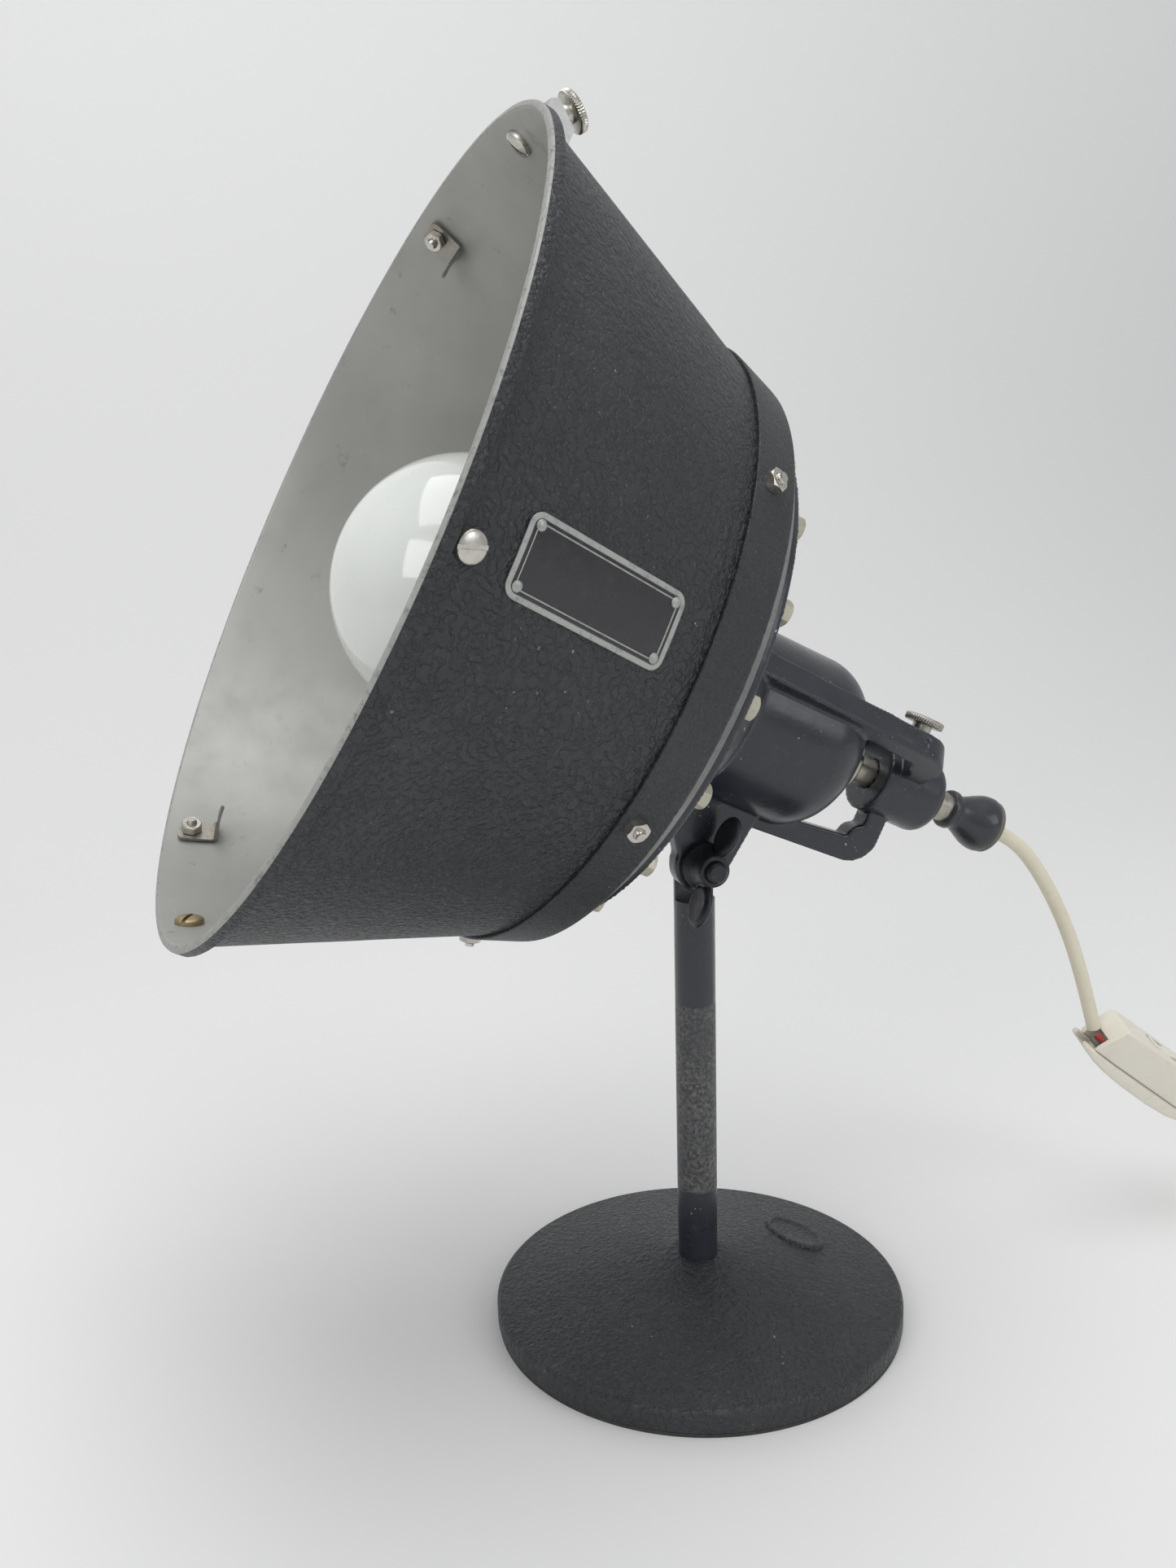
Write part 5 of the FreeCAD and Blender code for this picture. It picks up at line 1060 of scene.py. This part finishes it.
# --- Bulb ---
GLOBE = 125.0
R = 47.5
neck_angle = degrees(asin(22.4 / R))
globe_profile = [(12.6, 57.0), (12.8, 63.0), (14.4, 64.5), (16.6, 69.0), (19.2, 76.0)]
globe_profile += [(x, y) for x, y in arc(0, GLOBE, R, -90 + neck_angle + 1.5, 90, 60)]
globe_profile[-1] = (0, GLOBE + R)
globe = lathe("opal_globe", globe_profile, HEAD, "bulb", [OPAL], steps=128, closed=False,
              smooth=80)
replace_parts(globe, "bulb_globe")

# --- Base and post ---
EDGE_START = 80.5
CREST = 25.2
SLOPE_RUN = EDGE_START - 14.0
base_profile = [(6.1, 12.0), (14.0, 12.0), (16.0, 19.7), (75.0, 6.0), (75.0, 1.6), (75.6, 1.5),
                (82.2, 1.5), (82.8, 1.9)]
base_profile += [(83.0, 2.6), (83.0, 8.5)] + arc(80.5, 8.5, 2.5, 0, 90, 6)[1:]
base_profile += [(EDGE_START - SLOPE_RUN * k / 26, 11.0 + (CREST - 11.0) * k / 26)
                 for k in range(1, 26)]
base_profile += [(14.6, 25.1), (13.4, 25.5), (12.2, 26.0), (6.1, 26.0)]
base = lathe("base", base_profile, STAND, "stand", [CRACKLE_BASE], steps=256)
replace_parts(base, "base_casting")

bm = bmesh.new()
distance = hypot(50, 11)
slope = atan((CREST - 11) / SLOPE_RUN)
height = 11 + (EDGE_START - distance) * tan(slope)
panel_place = Matrix.Rotation(atan2(50, -11), 4, "Z") @ Matrix.Translation(
    Vector((distance, 0, height)) * MM) @ Matrix.Rotation(slope, 4, "Y")
rings = []
for half_x, half_y, lift in ((10.1, 15.6, -0.8), (9.9, 15.4, 0.35), (9.5, 15.0, 0.95),
                             (9.0, 14.5, 1.2), (7.9, 13.4, 1.2), (7.4, 12.9, 0.95),
                             (7.0, 12.5, 0.65), (3.5, 7.0, 0.65)):
    rings.append(loop(bm, [(half_x * x, half_y * y, lift) for x, y, _ in circle(1, 0, 72)]))
skin(bm, rings)
bm.faces.new(rings[-1])
panel = build("base_panel", bm, panel_place, "stand", [CRACKLE_BASE], smooth=60)
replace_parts(panel, "base_casting")

bm = bmesh.new()
SHOULDER = 177.5
POST_TOP = 209.0
steps = 96
post_rows = [(6.0, 2.1), (6.0, 26.0), (8.0, 26.0)]
post_rows += [(8.0, 26 + (SHOULDER - 26) * k / 30) for k in range(1, 31)]
rings = [loop(bm, circle(radius, z, steps)) for radius, z in post_rows]
skin(bm, rings)
half = [k for k in range(steps // 4, 3 * steps // 4 + 1)]
near = [k % steps for k in range(3 * steps // 4, steps + steps // 4 + 1)]
bm.faces.new([rings[-1][k] for k in near])
bm.faces.new(rings[0][::-1])
upper = []
for z, radius in ((POST_TOP - 1.2, 8.0), (POST_TOP, 7.0)):
    upper.append([bm.verts.new((radius * cos(2 * pi * k / steps)
                                if k not in (half[0], half[-1]) else 0.0,
                                radius * sin(2 * pi * k / steps), z)) for k in half])
shoulder_row = [rings[-1][k] for k in half]
skin(bm, [shoulder_row] + upper, closed=False)
bm.faces.new(upper[-1])
bm.faces.new([shoulder_row[0], upper[0][0], upper[1][0], upper[1][-1], upper[0][-1],
              shoulder_row[-1]])
post = build("post_rod", bm, STAND, "stand", [POST_ENAMEL], smooth=40)
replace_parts(post, "post")

# --- Blank name plate and its rivets ---
PLATE_TURN = 4
PLATE_FACE = 126.0
PLATE_HALF = (12.0, 29.0)
PLATE_ROUND = 4.0
PLATE_RISE = 0.8 * hypot(1, CONE_SLOPE)
METAL, FIELD = 0, 1


def plate_ring(bm, inset, lift):
    """A rounded outline on the shade's side, set in and lifted."""
    half_y, half_z = PLATE_HALF[0] - inset, PLATE_HALF[1] - inset
    bend = max(0.6, PLATE_ROUND - inset)
    outline = []

    def bent(corner, angle):
        side_y, side_z = ((1, 1), (-1, 1), (-1, -1), (1, -1))[corner % 4]
        return (side_y * (half_y - bend) + bend * cos(radians(angle)),
                side_z * (half_z - bend) + bend * sin(radians(angle)))

    for corner in range(4):
        outline += [bent(corner, 90 * corner + 90 * k / 8) for k in range(9)]
        start, end = outline[-1], bent(corner + 1, 90 * (corner + 1))
        outline += [(start[0] + (end[0] - start[0]) * k / 8, start[1] + (end[1] - start[1]) * k / 8)
                    for k in range(1, 8)]
    ring = []
    for y, z in outline:
        reach = cone_radius(PLATE_FACE + z) + lift * hypot(1, CONE_SLOPE)
        ring.append(bm.verts.new((sqrt(reach * reach - y * y), y, PLATE_FACE + z)))
    return ring


bm = bmesh.new()
plate_rings = [(0.0, 0.02, METAL), (0.0, 0.65, METAL), (0.2, 0.8, METAL), (1.5, 0.8, METAL),
               (1.7, 0.62, FIELD), (2.6, 0.62, FIELD), (2.7, 0.78, METAL), (3.05, 0.78, METAL),
               (3.15, 0.62, FIELD), (5.0, 0.62, FIELD), (7.0, 0.62, FIELD), (9.0, 0.62, FIELD),
               (11.3, 0.62, FIELD)]
rings = [plate_ring(bm, inset, lift) for inset, lift, _ in plate_rings]
skin(bm, rings, finish=[finish for _, _, finish in plate_rings])
bm.faces.new(rings[-1]).material_index = FIELD
bm.faces.new(rings[0][::-1])
PLATE_METAL = worn_metal("plate_metal", (0.50, 0.51, 0.49), (0.34, 0.35, 0.335), rough=0.42,
                         stain=(0.13, 0.12, 0.10), amount=0.55, metallic=0.7)
PLATE_FIELD = plastic("plate_enamel", (0.012, 0.012, 0.014), (0.022, 0.022, 0.026),
                      (0.09, 0.09, 0.088), rough=0.3, amount=0.3, coat=0.2)
plate = build("blank_plate", bm, turned(PLATE_TURN), "head", [PLATE_METAL, PLATE_FIELD], smooth=25)
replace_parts(plate, "name_plate")

bm = bmesh.new()
for end in (-1, 1):
    face = PLATE_FACE + end * (PLATE_HALF[1] - 3.6)
    for side in (-1, 1):
        turn = degrees(asin(side * (PLATE_HALF[0] - 3.6) / cone_radius(face)))
        spot = local(on_wall(PLATE_TURN + turn, cone_radius(face) + PLATE_RISE, face, CONE_SLOPE))
        add_lathe(bm, [(0, 0.82), (0.5, 0.79), (0.95, 0.68), (1.35, 0.46), (1.62, 0.18),
                       (1.66, -0.12), (0, -0.12)], 28, closed=False, place=spot)
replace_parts(build("rivet_heads", bm, HEAD, "head", [PLATE_METAL], smooth=60), "plate_rivets")

# --- Spring clips ---
CLIP_METAL = worn_metal("clip_steel", (0.42, 0.40, 0.36), (0.24, 0.225, 0.2), rough=0.32,
                        stain=(0.12, 0.075, 0.04), amount=0.5)
clip_path = [(-4.8, 0.7, 3.6), (-3.9, 0.7, 5.0), (-2.0, 0.7, 5.4), (4.0, 0.7, 5.4),
             (7.6, 0.75, 5.3), (8.9, 1.1, 5.2), (9.5, 1.9, 5.0), (9.7, 3.0, 4.8),
             (9.85, 5.5, 4.3), (10.1, 8.0, 3.6), (10.5, 10.5, 2.7), (11.0, 12.4, 1.7),
             (11.3, 13.3, 0.8)]
for number, angle in enumerate(CLIP_ANGLES, 1):
    bm = bmesh.new()
    outside = local(on_wall(angle, cone_radius(CLIP_FACE), CLIP_FACE, CONE_SLOPE))
    spot = facing_in(outside, CLIP_LEVEL)
    rows = []
    for k, (x, z, half) in enumerate(clip_path):
        before, after = clip_path[max(0, k - 1)], clip_path[min(len(clip_path) - 1, k + 1)]
        way = Vector((after[0] - before[0], after[1] - before[1])).normalized()
        off = Vector((-way.y, way.x)) * 0.5
        rows.append([bm.verts.new(spot @ Vector((x + off.x * s, y, z + off.y * s)))
                     for s, y in ((1, -half), (1, half), (-1, half), (-1, -half))])
    tube(bm, rows)
    clip = build("clip_leaf_%d" % number, bm, HEAD, "clip_" + "abc"[number - 1], [CLIP_METAL],
                 smooth=40)
    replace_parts(clip, "spring_clip_%d" % number)

# --- Cord switch ---
SWITCH_SINK = 7.7
SWITCH_ROLL = 19
SWITCH_PITCH = -2.5
SWITCH_LOOK = SWITCH @ Matrix.Translation((0, 0, -SWITCH_SINK * MM))
SWITCH_LOOK = SWITCH_LOOK @ Matrix.Rotation(radians(SWITCH_ROLL), 4, "X")
SWITCH_LOOK = SWITCH_LOOK @ Matrix.Rotation(radians(SWITCH_PITCH), 4, "Y")


def box_mesh(name, low, high, place):
    bm = bmesh.new()
    add_prism(bm, [(low[0], low[1]), (high[0], low[1]), (high[0], high[1]), (low[0], high[1])],
              low[2], high[2])
    return bare_mesh(name, bm, place)


def rail(bm, stations):
    """Skin rounded box sections along x; each station is (x, half width, low, high, round)."""
    rings = []
    for x, half, low, high, bend in stations:
        ring = []
        for sy, sz, start in ((1, 1, 0), (-1, 1, 90), (-1, -1, 180), (1, -1, 270)):
            for k in range(5):
                angle = radians(start + 90 * k / 4)
                middle_z = (high - bend) if sz > 0 else (low + bend)
                ring.append(bm.verts.new((x, sy * (half - bend) + bend * cos(angle),
                                          middle_z + bend * sin(angle))))
        rings.append(ring)
    tube(bm, rings)


bm = bmesh.new()
rail(bm, [(4.4, 8.0, 0.12, 1.6, 0.5), (4.9, 8.4, 0.12, 4.0, 0.8), (6.3, 8.8, 0.12, 8.5, 1.0),
          (7.8, 9.1, 0.12, 13.0, 1.1), (8.7, 9.2, 0.12, 15.4, 1.2), (9.6, 9.3, 0.12, 16.0, 1.3),
          (16.0, 9.9, 0.12, 16.3, 1.3), (36.5, 10.0, 0.12, 16.5, 1.3),
          (58.0, 9.9, 0.12, 16.3, 1.3), (65.4, 9.4, 0.12, 16.0, 1.3), (66.4, 9.2, 0.12, 15.4, 1.2),
          (67.4, 9.1, 0.12, 13.0, 1.1), (69.0, 8.8, 0.12, 8.5, 1.0),
          (70.2, 8.4, 0.12, 4.0, 0.8), (70.6, 8.0, 0.12, 1.6, 0.5)])
# The mouths and the rocker slot cut into the lid show the near-black painted shade on their cut
# faces.
cover = carved("switch_lid", bare_mesh("lid", bm, SWITCH_LOOK),
               [box_mesh("mouth", (2, -6.4, -1), (13, 5.2, 7.2), SWITCH_LOOK),
                box_mesh("back_mouth", (62, -4.6, 3.2), (72, 4.6, 12.0), SWITCH_LOOK),
                box_mesh("slot", (28.4, -4.9, 9.5), (46.6, 4.9, 18), SWITCH_LOOK)],
               "stand", [SWITCH_WHITE, PAINTED_SHADE], bevel=0.25)
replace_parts(cover, "switch_cover")
bm = bmesh.new()
rail(bm, [(-0.4, 6.4, -1.5, -0.12, 0.5), (0.4, 7.4, -2.4, -0.12, 0.8), (3.0, 8.2, -3.4, -0.12, 1.1),
          (8.0, 9.2, -4.7, -0.12, 1.4), (15.0, 9.8, -5.7, -0.12, 1.6),
          (28.0, 10.0, -6.7, -0.12, 1.8), (46.0, 10.0, -7.0, -0.12, 1.8),
          (60.0, 9.8, -6.2, -0.12, 1.6),
          (68.0, 9.0, -4.7, -0.12, 1.3), (73.0, 8.0, -3.2, -0.12, 1.0),
          (75.2, 6.8, -1.9, -0.12, 0.6)])
# The cradle cut into the shell shows the near-black painted shade on its cut faces.
shell = carved("switch_shell", bare_mesh("shell", bm, SWITCH_LOOK),
               [box_mesh("cradle", (-2, -3.6, -2.2), (9, 3.6, 1), SWITCH_LOOK)],
               "stand", [SWITCH_WHITE, PAINTED_SHADE], bevel=0.3)
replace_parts(shell, "switch_base")

bm = bmesh.new()
rocker_outline = [(-7.2, -3.2), (7.2, -3.2), (7.3, -1.4), (7.2, 2.0), (5.8, 1.7), (1.8, 0.4),
                  (0, 0.1), (-1.8, 0.2), (-5.8, 0.8), (-7.2, 0.9), (-7.3, -1.4)]
add_prism(bm, rocker_outline, -3.9, 3.9,
          place=Matrix.Translation((37.5, 0, 16.0)) @ Matrix.Rotation(pi / 2, 4, "X"))
rocker = build("rocker_cap", bm, SWITCH_LOOK, "rocker", [SWITCH_WHITE], smooth=30, bevel=0.5)
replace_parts(rocker, "switch_rocker")


def swept(name, points, radii, body, materials, steps=24):
    """A round tube of changing radius along points, closed at its ends."""
    bm = bmesh.new()
    rings = []
    for k, point in enumerate(points):
        way = (points[min(k + 1, len(points) - 1)] - points[max(k - 1, 0)]).normalized()
        across = way.orthogonal().normalized()
        if rings:
            across = (last - way * last.dot(way)).normalized()
        last = across
        other = way.cross(across)
        rings.append([bm.verts.new((point + across * (radii[k] * MM * cos(a))
                                    + other * (radii[k] * MM * sin(a))) / MM)
                      for a in [2 * pi * i / steps for i in range(steps)]])
    tube(bm, rings)
    return build(name, bm, Matrix.Identity(4), body, materials, smooth=50)


def in_switch(x, y, z):
    return SWITCH_LOOK @ (Vector((x, y, z)) * MM)


swept("red_core", [in_switch(3.6, -2.0, 4.6), in_switch(5.2, -4.2, 4.9), in_switch(7.5, -5.0, 4.4),
                   in_switch(11, -4.2, 4.0)], [1.25] * 4, "stand", [WIRE_RED], steps=16)
swept("grey_core", [in_switch(3.2, -1.6, 2.2), in_switch(5.4, -3.8, 1.9),
                    in_switch(8.0, -4.6, 1.8), in_switch(11, -4.0, 1.8)], [1.3] * 4, "stand",
      [RUBBER], steps=16)

# --- Plug and its tapered sleeve ---
softened("plug_moulding", "plug_body", "stand", [PLUG_WHITE], 0.6, 6)
run = 0.0
sleeve = [floor_points[-1]]
for before, after in zip(floor_points[::-1], floor_points[-2::-1]):
    run += (after - before).length
    sleeve.append(after)
    if run > 24 * MM:
        break
steps_back = len(sleeve)
swept("plug_sleeve", sleeve, [4.75 - 1.35 * k / (steps_back - 1) for k in range(steps_back)],
      "stand", [PLUG_WHITE])
